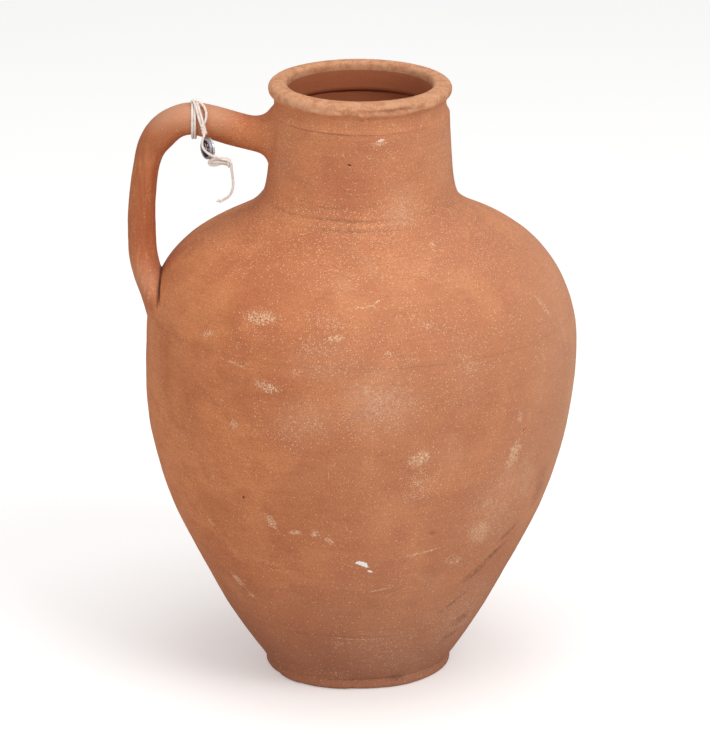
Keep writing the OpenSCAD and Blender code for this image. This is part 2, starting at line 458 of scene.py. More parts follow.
@dataclass
class JugSizes:
    """The jug's driving sizes, in metres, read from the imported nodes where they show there."""

    foot_r: float = 69 * MM
    foot_h: float = 8 * MM
    belly_r: float = 160.5 * MM
    belly_z: float = 248 * MM
    wall: float = 8 * MM
    root_r: float = 102 * MM
    root_z: float = 341.5 * MM
    neck_r: float = 74 * MM
    neck_z: float = 363 * MM
    collar_r: float = 66.5 * MM
    collar_z: float = 427 * MM
    mouth_r: float = 55.5 * MM
    top: float = 450 * MM
    heel_t: float = 0.88
    seam_t: float = 0.18

    @classmethod
    def from_frame(cls) -> JugSizes:
        """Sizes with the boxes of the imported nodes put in."""
        foot, belly, neck, rim = (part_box(node)[1] for node in ("foot", "belly", "neck", "rim"))
        return cls(foot_r=foot.x, foot_h=foot.z, belly_r=belly.x, neck_r=neck.x, top=rim.z)

    def curves(self) -> dict[str, Cubic]:
        """The profile's curves, from the foot up to the lip and in over it."""
        mm, top, neck = MM, self.top, (self.neck_r, self.neck_z)
        hip, root, collar = (104 * mm, 60 * mm), (self.root_r, self.root_z), (self.collar_r, self.collar_z)
        crest, brow, tuck = (62.5 * mm, top), (68.8 * mm, top - 7 * mm), (65 * mm, top - 13 * mm)
        widest = (self.belly_r, self.belly_z)
        return {
            "flare": Cubic(
                (self.foot_r, self.foot_h), (self.foot_r + 7 * mm, self.foot_h + 6 * mm), (95 * mm, 44 * mm), hip
            ),
            "bowl": Cubic(hip, (136.4 * mm, 117.6 * mm), (self.belly_r, self.belly_z - 84 * mm), widest),
            "crown": Cubic(
                widest, (self.belly_r, self.belly_z + 67 * mm), (root[0] + 16 * mm, root[1] - 8.5 * mm), root
            ),
            "root": Cubic(root, (root[0] - 12.8 * mm, root[1] + 6.8 * mm), (neck[0] + 5 * mm, neck[1] - 8 * mm), neck),
            "throat": Cubic(
                neck, (neck[0] - 5.5 * mm, neck[1] + 8.8 * mm), (collar[0] + 1.5 * mm, collar[1] - 28 * mm), collar
            ),
            "cavetto": Cubic(collar, (64.5 * mm, collar[1] + 3.5 * mm), (64.3 * mm, top - 17 * mm), tuck),
            "lip_under": Cubic(tuck, (65.5 * mm, top - 10 * mm), (68.3 * mm, top - 9.2 * mm), brow),
            "lip_outer": Cubic(brow, (69.9 * mm, top - 3.2 * mm), (68 * mm, top), crest),
            "lip_inner": Cubic(
                crest, (58.0 * mm, top + 0.2 * mm), (self.mouth_r, top + 0.2 * mm), (self.mouth_r, top - 5 * mm)
            ),
        }


class WallProfile:
    """Looks up the outer wall's radius and slope at any height."""

    def __init__(self, sizes: JugSizes) -> None:
        """Samples the curves up to the lip's underside."""
        curves = sizes.curves()
        names = ("flare", "bowl", "crown", "root", "throat", "cavetto", "lip_under")
        line = np.concatenate([curves[n].points(np.linspace(0, 1, 81))[:-1] for n in names])
        line = np.concatenate([[(sizes.foot_r, 0.0)], line, [curves["lip_under"].end]])
        self.radii, self.heights = line[:, 0], line[:, 1]

    def radius(self, height: np.ndarray | float) -> np.ndarray:
        """The outer radius at a height."""
        return np.interp(height, self.heights, self.radii)

    def frame(self, angle: float, height: float) -> tuple[Vector, Vector, Vector, Vector]:
        """A place on the wall and its directions.

        Args:
            angle: Turn about Z from +X, in degrees; -90 is the front.
            height: Height in metres.

        Returns:
            The point, the level direction to the right, the direction up the wall, and out of it.
        """
        step = 2 * MM
        radius = float(self.radius(height))
        rise = Vector((float(self.radius(height + step) - self.radius(height - step)), 0.0, 2 * step))
        turn = Matrix.Rotation(math.radians(angle), 3, "Z")
        level, up = turn @ Vector((0, 1, 0)), (turn @ rise).normalized()
        return turn @ Vector((radius, 0, height)), level, up, level.cross(up)


@dataclass(frozen=True)
class Mark:
    """A place on the wall with a look of its own. Angle and turn in degrees, the rest in millimetres."""

    kind: MarkKind
    angle: float
    height: float
    wide: float
    tall: float
    turn: float = 0.0
    strength: float = 1.0


@dataclass(frozen=True)
class Dent:
    """A place where the wall stands in or out, with a ragged edge. Sizes as in Mark."""

    angle: float
    height: float
    wide: float
    tall: float
    depth: float
    ragged: float = 0.3


@dataclass(frozen=True)
class Seam:
    """A joint line between two belts of clay: how deep and wide it is, and where it shows."""

    curve: str
    t: float
    depth: float
    width: float
    wander: float
    centre: float
    spread: float
    floor: float = 0.0


class HandOfPotter:
    """Moves plain turned points as a potter's hand and later use left them."""

    DENTS = (
        Dent(-120, 2.5, 92, 26, 3.4, 0.25), Dent(-150, 3, 60, 22, 1.4, 0.3), Dent(-60, 3, 46, 16, 0.8, 0.4),
        Dent(-67, 443.0, 36, 6.5, -3.0, 0.5), Dent(-88, 441.4, 10, 5, 1.8, 0.7), Dent(-112, 441.6, 30, 4.5, 1.0, 0.8),
        Dent(-40, 442.4, 24, 5, 0.8, 0.8), Dent(-96, 405, 3.2, 2.2, -0.9, 0.2), Dent(-41, 217, 2.6, 2.6, -1.3, 0.1),
        Dent(-123, 172, 2.4, 2.6, -1.2, 0.1), Dent(-40, 235, 10, 34, -0.7, 0.4), Dent(-38, 120, 40, 60, -0.6, 0.6),
        Dent(140, 443, 30, 6, -1.1, 0.6), Dent(35, 446, 16, 5, -0.9, 0.6), Dent(75, 180, 60, 40, -0.9, 0.5),
    )
    SEAMS = (
        Seam("throat", 1.0, 0.5, 0.5, 1.0, -104, 44, 0.08),
        Seam("throat", 0.05, 0.4, 1.0, 0.9, -98, 26, 0.1),
        Seam("crown", 0.18, 0.06, 2.0, 1.5, -140, 80, 0.3),
        Seam("flare", 0.88, 0.1, 0.8, 0.6, -92, 40, 0.3),
        Seam("root", 0.8, 0.35, 1.3, 0.8, -92, 24, 0.1),
        Seam("throat", 0.24, 0.3, 0.6, 0.5, -106, 14, 0.0),
    )
    # How the wet jug settled, in millimetres: height, lean to +X, swelling, and rise per 100 to +X
    SETTLING = (
        (0, 1.2, 0.4, 0), (20, -0.1, -0.3, 0), (54, -0.5, -0.6, 0), (80, -0.6, -1.5, 0), (105, -0.5, -1.8, 0),
        (130, -0.4, -1.1, 0), (165, -0.1, -1.1, 0), (190, 0.2, -0.4, 0), (210, 0.8, -0.3, 0), (230, 1.9, -0.5, 0),
        (252, 2.4, -0.7, 0), (268, 2.2, 0.0, 0), (290, 1.3, 0.5, 0.3), (310, 0.6, 1.0, 0.6), (325, 0.2, 1.6, 1.2),
        (338, 0.1, 1.4, 1.8), (350, 0.6, -0.2, 1.2), (363, 1.0, -0.9, 0.2), (400, 0.9, -0.8, 0), (427, 0.8, -0.8, 0),
        (438, 0.5, -1.5, 0), (450, 0.5, -1.6, 0),
    )

    def __init__(self, sizes: JugSizes, wall: WallProfile) -> None:
        """Prepares the noise and the seams' rings."""
        self.wall, self.sizes = wall, sizes
        self.lattice = Lattice(11)
        curves = sizes.curves()
        self.rings = [(seam, curves[seam.curve].points([seam.t])[0]) for seam in self.SEAMS]

    def settle(self, points: np.ndarray) -> np.ndarray:
        """Moves points as the wet jug sagged and leaned.

        Args:
            points: Places, (n, 3).

        Returns:
            The moved places.
        """
        table = np.array(self.SETTLING) * MM
        lean, swell, tilt = (np.interp(points[:, 2], table[:, 0], table[:, k]) for k in (1, 2, 3))
        radius = np.maximum(np.hypot(points[:, 0], points[:, 1]), 1e-6)
        angle = np.arctan2(points[:, 1], points[:, 0])
        swell = swell - 0.35 * MM * np.cos(2 * angle) * smooth_step((points[:, 2] - 20 * MM) / (60 * MM))
        moved = points.copy()
        moved[:, :2] *= (1 + swell / radius)[:, None]
        moved[:, 0] += lean
        moved[:, 2] += tilt * points[:, 0] / 0.1
        return moved

    def shape(self, points: np.ndarray, out: np.ndarray, skin: np.ndarray) -> tuple[np.ndarray, np.ndarray]:
        """Moves points of the outer wall.

        Args:
            points: Plain places, (n, 3).
            out: The direction out of the wall at each.
            skin: 1 on the outside, less inside.

        Returns:
            The moved points, and how deep in a crease each lies, from 0 to 1.
        """
        angle = np.degrees(np.arctan2(points[:, 1], points[:, 0]))
        radius, height = np.hypot(points[:, 0], points[:, 1]), points[:, 2]
        moved = points.copy()
        push, crease = np.zeros(len(points)), np.zeros(len(points))
        for seam, (seam_r, seam_z) in self.rings:
            near = np.hypot(radius - seam_r, height - seam_z)
            off_axis = (angle - seam.centre + 180) % 360 - 180
            shown = seam.floor + (1 - seam.floor) * np.exp(-((off_axis / seam.spread) ** 2))
            along = np.stack([points[:, 0], points[:, 1], np.full(len(points), seam_z)], axis=1)
            shown = shown * np.clip(0.75 + 0.7 * self.lattice.layered(along, 22 * MM), 0.1, 1.4)
            groove = np.exp(-((near / (seam.width * MM)) ** 2)) * shown
            push -= seam.depth * MM * groove
            # The crease number marks painted shade along each seam's groove.
            crease = np.maximum(crease, groove * min(1.0, seam.depth / 0.75))
            wander = self.lattice.layered(along, 16 * MM) * seam.wander * MM
            moved[:, 2] += wander * np.exp(-((near / (7 * MM)) ** 2)) * np.where(height > 1 * MM, 1, 0)
        for dent in self.DENTS:
            centre, level, up, outward = self.wall.frame(dent.angle, dent.height * MM)
            away = points - np.array(centre)
            across = (away @ np.array(level)) / (dent.wide * MM / 2)
            along_wall = (away @ np.array(up)) / (dent.tall * MM / 2)
            through = (away @ np.array(outward)) / (14 * MM)
            reach = np.sqrt(across**2 + along_wall**2 + through**2)
            reach = reach + dent.ragged * self.lattice.layered(points, max(dent.tall, 4) * 0.6 * MM)
            push += dent.depth * MM * smooth_step(1.25 - reach) * (through > -0.5)
        moved += out * (push * skin)[:, None]
        moved = self.settle(moved)
        return moved, crease


def plain_mesh(
    name: str, points: np.ndarray, faces: Sequence[Sequence[int]], **attributes: np.ndarray,
) -> Piece:
    """A smooth-shaded mesh object with its origin at zero.

    Args:
        name: The object's name.
        points: Vertex places, (n, 3).
        faces: Vertex numbers of each face.
        **attributes: A number or a vector for each vertex.

    Returns:
        The object, linked to the scene.
    """
    mesh = bpy.data.meshes.new(name)
    mesh.from_pydata(np.asarray(points).tolist(), [], [list(f) for f in faces])
    for label, values in attributes.items():
        vector = values.ndim == 2
        store = mesh.attributes.new(label, "FLOAT_VECTOR" if vector else "FLOAT", "POINT")
        store.data.foreach_set("vector" if vector else "value", values.astype(np.float32).ravel())
    mesh.shade_smooth()
    mesh.update()
    made = bpy.data.objects.new(name, mesh)
    bpy.context.scene.collection.objects.link(made)
    return made


def grid_faces(rows: int, columns: int, closed_rows: bool) -> list[tuple[int, ...]]:
    """Quads between rings of points. The ring always closes; the rows close where asked."""
    faces = []
    for i in range(rows if closed_rows else rows - 1):
        below, above = i * columns, (i + 1) % rows * columns
        for j in range(columns):
            nxt = (j + 1) % columns
            faces.append((below + j, below + nxt, above + nxt, above + j))
    return faces


def run_tree(made: Piece, tree: Tree, name: str, **inputs: object) -> Piece:
    """Runs a geometry tree on an object and keeps the result as a plain mesh.

    Args:
        made: The object to work on; it is removed.
        tree: The geometry tree.
        name: The new object's name.
        **inputs: The tree's inputs by name, with _ for a space.

    Returns:
        The new mesh object, with its origin at zero.
    """
    modifier = made.modifiers.new("tree", "NODES")
    modifier.node_group = tree
    labels = {item.name: item.identifier for item in tree.interface.items_tree if item.item_type == "SOCKET" and item.in_out == "INPUT"}
    for label, value in inputs.items():
        modifier[labels[label.replace("_", " ")]] = value
    bpy.context.view_layer.update()
    graph = bpy.context.evaluated_depsgraph_get()
    mesh = bpy.data.meshes.new_from_object(made.evaluated_get(graph), depsgraph=graph)
    mesh.name = name
    bpy.data.objects.remove(made)
    result = bpy.data.objects.new(name, mesh)
    bpy.context.scene.collection.objects.link(result)
    return result


# ---------------------------------------------------------------------------
# Geometry trees
# ---------------------------------------------------------------------------


def hand_thrown_tree() -> Tree:
    """Throwing rings, slack lumps and tool chatter on a turned wall, along its stored way out."""
    takes = {
        "Geometry": ("geometry", None), "Ring Spacing": ("value", 0.009), "Ring Depth": ("value", 0.0002),
        "Lump Size": ("value", 0.06), "Lump Depth": ("value", 0.0006), "Grain Depth": ("value", 0.00008),
        "Material": ("material", None),
    }
    group = GroupTree("hand_thrown", "GeometryNodeTree", takes, {"Geometry": "geometry"})
    board, taken = group.board, group.taken
    place = board.add("GeometryNodeInputPosition").outputs[0]
    way = board.add("GeometryNodeInputNamedAttribute", {"Name": "way"}, data_type="FLOAT_VECTOR").outputs[0]
    skin = board.add("GeometryNodeInputNamedAttribute", {"Name": "skin"}, data_type="FLOAT").outputs[0]
    x, y, z = board.parts(place)
    turn = board.math("DIVIDE", board.math("ARCTAN2", y, x), FULL_TURN)
    level = board.math("ADD", board.math("DIVIDE", z, taken["Ring Spacing"]), board.times(turn, 0.0))
    rings = board.noise(board.join(board.times(x, 5.0), board.times(y, 5.0), level), 1.0, 2.0, 0.55)
    lumps = board.noise(place, board.math("DIVIDE", 1.0, taken["Lump Size"]), 3.0, 0.5)
    grain = board.noise(place, 520.0, 3.0, 0.6)
    parts = [
        board.times(board.math("SUBTRACT", value, 0.5), taken[depth])
        for value, depth in ((rings, "Ring Depth"), (lumps, "Lump Depth"), (grain, "Grain Depth"))
    ]
    push = board.times(board.times(board.total(parts), 2.0), skin)
    moved = board.add(
        "GeometryNodeSetPosition", {"Geometry": taken["Geometry"], "Offset": board.vector("SCALE", way, push)}
    )
    real = board.add("GeometryNodeRealizeInstances", {"Geometry": moved.outputs[0]})
    dressed = board.add("GeometryNodeSetMaterial", {"Geometry": real.outputs[0], "Material": taken["Material"]})
    return group.give(Geometry=dressed.outputs[0])


def twisted_string_tree() -> Tree:
    """A string of twisted plies swept along a curve."""
    takes = {
        "Geometry": ("geometry", None), "Radius": ("value", 0.00085), "Plies": ("value", 3.0), "Ply Depth": ("value", 0.14),
        "Lay Length": ("value", 0.0042), "Step": ("value", 0.0003), "Flatness": ("value", 1.0), "Material": ("material", None),
    }
    group = GroupTree("twisted_string", "GeometryNodeTree", takes, {"Geometry": "geometry"})
    board, taken = group.board, group.taken
    line = board.add(
        "GeometryNodeResampleCurve", {"Curve": taken["Geometry"], "Length": taken["Step"]}, mode="LENGTH"
    ).outputs[0]
    along = board.add("GeometryNodeSplineParameter").outputs["Length"]
    tilt = board.times(board.math("DIVIDE", along, taken["Lay Length"]), FULL_TURN)
    kept = board.add(
        "GeometryNodeStoreNamedAttribute", {"Geometry": line, "Name": "along", "Value": along}, data_type="FLOAT",
        domain="POINT"
    ).outputs[0]
    turned = board.add("GeometryNodeSetCurveTilt", {"Curve": kept, "Tilt": tilt}).outputs[0]
    ring = board.add("GeometryNodeCurvePrimitiveCircle", {"Resolution": 18, "Radius": 1.0}, mode="RADIUS").outputs[0]
    spot = board.add("GeometryNodeInputPosition").outputs[0]
    x, y, _z = board.parts(spot)
    around = board.math("ARCTAN2", y, x)
    lobe = board.math("ABSOLUTE", board.math("COSINE", board.times(board.times(around, taken["Plies"]), 0.5)))
    size = board.times(
        taken["Radius"],
        board.math("SUBTRACT", 1.08, board.times(taken["Ply Depth"], board.math("SUBTRACT", 1.0, lobe)))
    )
    section = board.vector("MULTIPLY", board.vector("SCALE", spot, size), board.join(1.0, taken["Flatness"], 1.0))
    named = board.add(
        "GeometryNodeStoreNamedAttribute", {"Geometry": ring, "Name": "around", "Value": around}, data_type="FLOAT",
        domain="POINT"
    ).outputs[0]
    profile = board.add("GeometryNodeSetPosition", {"Geometry": named, "Position": section}).outputs[0]
    tube = board.add(
        "GeometryNodeCurveToMesh", {"Curve": turned, "Profile Curve": profile, "Fill Caps": True}
    ).outputs[0]
    even = board.add("GeometryNodeSetShadeSmooth", {"Geometry": tube}).outputs[0]
    real = board.add("GeometryNodeRealizeInstances", {"Geometry": even}).outputs[0]
    dressed = board.add("GeometryNodeSetMaterial", {"Geometry": real, "Material": taken["Material"]})
    return group.give(Geometry=dressed.outputs[0])


def bead_ring_tree() -> Tree:
    """Small domed beads in a ring round Z."""
    takes = {
        "Geometry": ("geometry", None), "Ring Radius": ("value", 0.0072), "Count": ("count", 44), "Bead Radius": ("value", 0.00042),
        "Height": ("value", 0.002), "Material": ("material", None),
    }
    group = GroupTree("bead_ring", "GeometryNodeTree", takes, {"Geometry": "geometry"})
    board, taken = group.board, group.taken
    ring = board.add(
        "GeometryNodeMeshCircle", {"Vertices": taken["Count"], "Radius": taken["Ring Radius"]}, fill_type="NONE"
    ).outputs[0]
    raised = board.add(
        "GeometryNodeSetPosition", {"Geometry": ring, "Offset": board.join(0.0, 0.0, taken["Height"])}
    ).outputs[0]
    bead = board.add("GeometryNodeMeshIcoSphere", {"Radius": taken["Bead Radius"], "Subdivisions": 2}).outputs[0]
    smooth = board.add("GeometryNodeSetShadeSmooth", {"Geometry": bead}).outputs[0]
    odd = board.add(
        "FunctionNodeRandomValue", {"Min": (0.85, 0.85, 0.6), "Max": (1.1, 1.1, 0.95), "Seed": 5},
        data_type="FLOAT_VECTOR"
    ).outputs[0]
    spread = board.add("GeometryNodeInstanceOnPoints", {"Points": raised, "Instance": smooth, "Scale": odd}).outputs[0]
    real = board.add("GeometryNodeRealizeInstances", {"Geometry": spread}).outputs[0]
    dressed = board.add("GeometryNodeSetMaterial", {"Geometry": real, "Material": taken["Material"]})
    return group.give(Geometry=dressed.outputs[0])


def grit_scatter_tree() -> Tree:
    """Low grains of grog that stand out of a wall where its stored grit number is high."""
    takes = {
        "Geometry": ("geometry", None), "Density": ("value", 9000.0), "Grain": ("value", 0.00042), "Seed": ("count", 3),
        "Material": ("material", None),
    }
    group = GroupTree("grit_scatter", "GeometryNodeTree", takes, {"Geometry": "geometry"})
    board, taken = group.board, group.taken
    share = board.add("GeometryNodeInputNamedAttribute", {"Name": "grit"}, data_type="FLOAT").outputs[0]
    thick = board.times(taken["Density"], share)
    spots = board.add(
        "GeometryNodeDistributePointsOnFaces", {"Mesh": taken["Geometry"], "Density": thick, "Seed": taken["Seed"]},
        distribute_method="RANDOM"
    )
    size = board.add(
        "FunctionNodeRandomValue", {"Min": (0.4, 0.4, 0.3), "Max": (1.0, 1.0, 0.55), "Seed": 8},
        data_type="FLOAT_VECTOR"
    ).outputs[0]
    grain = board.add("GeometryNodeMeshIcoSphere", {"Radius": taken["Grain"], "Subdivisions": 1}).outputs[0]
    spread = board.add(
        "GeometryNodeInstanceOnPoints",
        {"Points": spots.outputs["Points"], "Instance": grain, "Rotation": spots.outputs["Rotation"], "Scale": size}
    ).outputs[0]
    real = board.add("GeometryNodeRealizeInstances", {"Geometry": spread}).outputs[0]
    dressed = board.add("GeometryNodeSetMaterial", {"Geometry": real, "Material": taken["Material"]})
    return group.give(Geometry=dressed.outputs[0])


@dataclass
class GeometryTrees:
    """The geometry trees, each built once."""

    thrown: Tree = field(default_factory=hand_thrown_tree)
    string: Tree = field(default_factory=twisted_string_tree)
    beads: Tree = field(default_factory=bead_ring_tree)
    grit: Tree = field(default_factory=grit_scatter_tree)


# ---------------------------------------------------------------------------
# Clay finishes
# ---------------------------------------------------------------------------

# Where the wall is marked, by kind: angle, height, width, tallness, turn and strength
WALL_MARKS = tuple(Mark(kind, *row) for kind, rows in {
    MarkKind.SCUFF: ((-119, 308, 50.4, 21, 5, 0.94), (-99, 310, 56, 22.4, -18, 0.66), (-96, 300, 23.8, 9.8, 10, 1),
        (-88, 319, 29.9, 4.6, 4, 0.83), (-84, 322, 10.3, 3.4, 30, 1), (-71, 307, 53.2, 12.6, -28, 0.61),
        (-135, 290, 28, 12.6, 20, 0.77), (-124, 288, 8.4, 12.6, 0, 0.66), (-124, 275, 36.8, 4.6, -8, 0.88),
        (-114, 262, 35, 15.4, -6, 1), (-107, 275, 14, 8.4, 0, 0.77), (-124, 229, 15.4, 14, 0, 0.83),
        (-82, 290, 9.2, 5.8, 20, 0.99), (-76, 285, 16.8, 18.2, -40, 0.66), (-60, 278, 19.6, 30.8, 20, 0.61),
        (-44, 200, 19.6, 42, -22, 1), (-43, 229, 12.6, 19.6, -10, 0.77), (-74, 211, 36.4, 21, 25, 0.94),
        (-55, 347, 8.4, 19.6, -30, 0.83), (-27, 300, 11.2, 42, 25, 0.77), (-20, 275, 11.2, 56, 10, 0.66),
        (-73, 190, 42, 56, -12, 0.61), (-51, 140, 36.4, 42, 35, 0.88), (-51, 165, 22.4, 15.4, 20, 0.77),
        (-70, 131, 57.5, 4, 10, 0.94), (-58, 118, 33.6, 18.2, -30, 0.77), (-82, 99, 32.2, 3, 14, 0.99),
        (-137, 91, 14, 25.2, 35, 0.99), (-139, 142, 11.2, 16.8, 10, 0.77), (-133, 80, 11.2, 12.6, 0, 0.77),
        (-98, 47, 36.4, 9.8, 0, 0.66), (-89, 51, 64.4, 1.8, -2, 0.94), (-115, 155, 12.6, 23.8, 25, 1),
        (-108, 149, 19.6, 8.4, 0, 1), (-102, 150, 12.6, 11.2, 0, 1), (-98, 144, 16.8, 8.4, -40, 1),
        (-77, 421, 19.6, 8.4, 10, 0.88), (-95, 360, 112, 22.4, 0, 0.44), (-48, 428, 9.2, 2.3, 40, 0.99),
        (-34, 255, 14, 84, -8, 0.55), (60, 250, 84, 70, 10, 0.77), (120, 180, 56, 84, 30, 0.77), (20, 150, 56, 56, 0, 0.77),
        (150, 290, 70, 28, 0, 0.66), (-104, 429, 71.3, 1.5, 0, 0.66), (-104, 296, 46, 30, -10, 0.45),
        (-86, 300, 60, 34, -15, 0.4), (-118, 300, 60, 30, 0, 0.4), (-60, 300, 30, 44, 10, 0.4), (-46, 150, 60, 90, 30, 0.45),),
    MarkKind.DUST: ((-84, 256, 92, 80, 0, 0.68), (-104, 238, 75, 50, 10, 0.56), (-98, 285, 75, 50, 0, 0.41),
        (-60, 270, 62, 75, 0, 0.26), (-45, 160, 112, 162, -20, 0.41), (-40, 60, 112, 112, -20, 0.45),
        (-78, 40, 88, 75, 0, 0.26), (-64, 372, 50, 50, 0, 0.56), (-20, 400, 75, 100, 0, 0.45), (-150, 405, 58, 75, 0, 0.34),
        (-176, 296, 50, 45, 0, 0.6), (-8, 210, 88, 188, 0, 0.41), (80, 260, 150, 125, 0, 0.52), (160, 150, 112, 150, 0, 0.45),),
    # Ruddy marks: redder clay, and painted shade on the lower body and on the neck under the lip
    MarkKind.RUDDY_AND_SHADE: ((-122, 288, 60, 26, 0, 0.6), (-78, 148, 26, 44, 0, 0.7), (-92, 96, 120, 60, 0, 0.35),
        (-96, 30, 110, 60, 0, 0.5), (-92, 395, 90, 50, 0, 0.4), (60, 120, 120, 80, 0, 0.4), (-86, 120, 110, 80, 0, 0.95), (-100, 392, 110, 70, 0, 0.7),),
    MarkKind.SMUDGE: ((-39, 112, 38, 9, 34, 0.75), (-45, 101, 46, 12, 38, 0.6), (-36, 128, 30, 8, 36, 0.6),
        (-41, 40, 26, 10, 24, 0.55), (-50, 76, 34, 7, 40, 0.5), (-68, 148, 10, 6, 0, 0.5), (-66, 8, 20, 12, 10, 0.6),
        (-39, 54, 24, 16, 20, 0.5), (-25, 158, 26, 50, 10, 0.4), (100, 90, 60, 30, 10, 0.6),),
    MarkKind.LIME: ((-88.5, 124, 11, 5, -32, 1), (-86, 117, 4, 2.4, -30, 0.9), (-76.5, 423, 5, 2.2, 15, 0.55),
        (70, 200, 7, 5, 0, 0.8),),
    # Painted shade in small pits
    MarkKind.PIT: ((-41, 217, 2.4, 2.4), (-123, 172, 2.2, 2.4), (-96, 405, 3.6, 1.8, -25),),
    # Painted shade along the crevice where the handle's lower end meets the belly, on both sides
    MarkKind.SHADE: ((-168.5, 298.5, 42, 3.4, -26, 1), (168.5, 298.5, 42, 3.4, 26, 1),),
}.items() for row in rows)


@dataclass(frozen=True)
class ClayFinish:
    """Unglazed fired clay: its colours and how much of each kind of wear it carries."""

    slot: Slot
    worn: float = 0.0
    streaked: float = 0.0
    marks: tuple[Mark, ...] = ()
    orange: tuple = tone(203, 129, 84)
    deep: tuple = tone(187, 113, 72)
    ruddy: tuple = tone(174, 98, 64)
    dusty: tuple = tone(216, 168, 138)
    pale: tuple = tone(238, 198, 162)
    grit: tuple = tone(242, 206, 170)
    sooty: tuple = tone(104, 78, 68)
    lime: tuple = tone(252, 246, 238)
    shade: tuple = tone(66, 36, 22)
    # Painted shade of the inner wall
    inside: tuple = tone(168, 93, 58)
    # Painted shade: the colour the clay darkens to towards the bottom
    foot: tuple = tone(138, 84, 64)
    worn_pale: tuple = tone(214, 164, 128)
    worn_brown: tuple = tone(186, 128, 90)

    def material(self, groups: ShaderGroups, wall: WallProfile) -> Finish:
        """Builds the finish.

        Args:
            groups: The shared shader groups.
            wall: Where the placed marks lie.

        Returns:
            The material.
        """
        material, board, shader = new_material(self.slot.value, self.slot)
        place = board.millimetres()
        x, y, z = board.parts(place)
        ragged = board.noise(place, 0.42, 4.0, 0.65)
        sums = {kind: self._marks(board, groups, wall, kind, place, ragged) for kind in MarkKind}
        grain = board.group(groups.grain, Place=place, Tooth=0.55, Wipe=0.8)
        broad = board.noise(place, 0.013, 3.0, 0.55, 0.4)
        medium = board.noise(board.vector("MULTIPLY", place, (1.0, 1.0, 1.5)), 0.045, 4.0, 0.6, 0.6)
        # Body colour: lighter and deeper fired clay, wiped bands and fine tooth
        colour = board.mix(board.span(broad, 0.36, 0.64), self.deep, self.orange)
        colour = board.mix(board.times(board.span(medium, 0.42, 0.7), 0.42), colour, self.ruddy)
        # Ruddy marks: partly redder clay, partly painted shade low on the body and on the neck.
        colour = board.mix(board.times(sums[MarkKind.RUDDY_AND_SHADE], 0.6), colour, self.ruddy)
        # Painted shade: darker towards the bottom, where the lower body lies in shade.
        colour = board.mix(board.span(z, 4.0, 140.0, 0.66, 0.0), colour, self.foot)
        bands = board.span(grain["Wipe"], 0.3, 0.7, 0.955, 1.045)
        tooth = board.span(grain["Tooth"], 0.28, 0.72, 0.74, 1.24)
        both = board.times(bands, tooth)
        colour = board.mix(1.0, colour, board.join(both, both, both), "MULTIPLY")
        # Dust and painted light: the pale dust colour is laid thicker towards the lit right side, away from the handle,
        # and brightest at the right edge; then the scuffs and sand that show through it
        lie = board.span(x, -120.0, 60.0)
        drifts = board.group(groups.haze, Place=place, Size=48.0, Amount=0.42, Seed=31.0)["Mask"]
        dust = board.times(board.math("MULTIPLY_ADD", drifts, 0.3, 0.34), lie)
        powder = board.times(sums[MarkKind.DUST], board.span(medium, 0.3, 0.62, 0.35, 1.0))
        powder = board.times(powder, board.span(ragged, 0.34, 0.64, 0.25, 1.3))
        # Painted light along the right edge, where the light from the right and behind falls.
        dust = board.total([dust, powder, board.span(x, 95.0, 165.0, 0.0, 0.4)])
        dust = board.math("MINIMUM", dust, 1.0)
        colour = board.mix(board.times(dust, 0.6), colour, self.dusty)
        crowd = board.group(groups.haze, Place=place, Size=34.0, Amount=0.5, Seed=77.0)["Mask"]
        worn = board.times(sums[MarkKind.SCUFF], 0.95)
        wanted = board.math("MULTIPLY_ADD", crowd, 0.25, worn)
        side = board.span(board.math("ABSOLUTE", x), 70.0, 120.0)
        flat_dash = board.group(groups.scuff, Place=place, Stretch=(1.0, 1.0, 1.6), Amount=wanted)["Mask"]
        tall_dash = board.group(groups.scuff, Place=place, Stretch=(1.6, 1.6, 0.8), Amount=wanted)["Mask"]
        dashes = board.add("ShaderNodeMix", {0: side, 2: flat_dash, 3: tall_dash}, data_type="FLOAT").outputs[0]
        colour = board.mix(board.times(dashes, 0.85), colour, self.pale)
        root = board.span(board.math("ABSOLUTE", board.math("SUBTRACT", z, 352.0)), 12.0, 30.0, 0.3, 0.0)
        zone = board.total([board.times(powder, 1.1), board.times(worn, 0.6), board.times(crowd, 0.28), root])
        zone = board.math("ADD", zone, board.span(lie, 0.0, 1.0, 0.04, 0.12), clamp=True)
        sand = board.group(groups.grit, Place=place, Spacing=0.95, Size=0.46, Amount=board.times(zone, 0.85))
        coarse = board.group(groups.grit, Place=place, Spacing=3.2, Size=0.34, Amount=0.14)
        specks = board.math("MAXIMUM", board.times(sand["Mask"], 0.55), board.times(coarse["Mask"], 0.7))
        colour = board.mix(specks, colour, self.grit)
        dark_place = board.vector("ADD", place, (17.0, 5.0, 9.0))
        dark = board.group(
            groups.grit, Place=dark_place, Spacing=1.3, Size=0.42, Amount=board.math("MULTIPLY_ADD", zone, 0.2, 0.1)
        )
        colour = board.mix(board.times(dark["Mask"], 0.4), colour, self.shade)
        if self.worn:
            colour = self._lip_wear(board, groups, place, z, colour)
        if self.streaked:
            colour = self._handle_streaks(board, place, x, z, colour)
        # Painted shade: the inner wall is painted darker and redder, as it lies in the shade of the mouth.
        inner = board.span(board.stored("skin"), 0.82, 0.96, 1.0, 0.0)
        if self.slot is not Slot.HANDLE:
            colour = board.mix(board.times(inner, 0.85), colour, board.mix(broad, self.inside, self.ruddy))
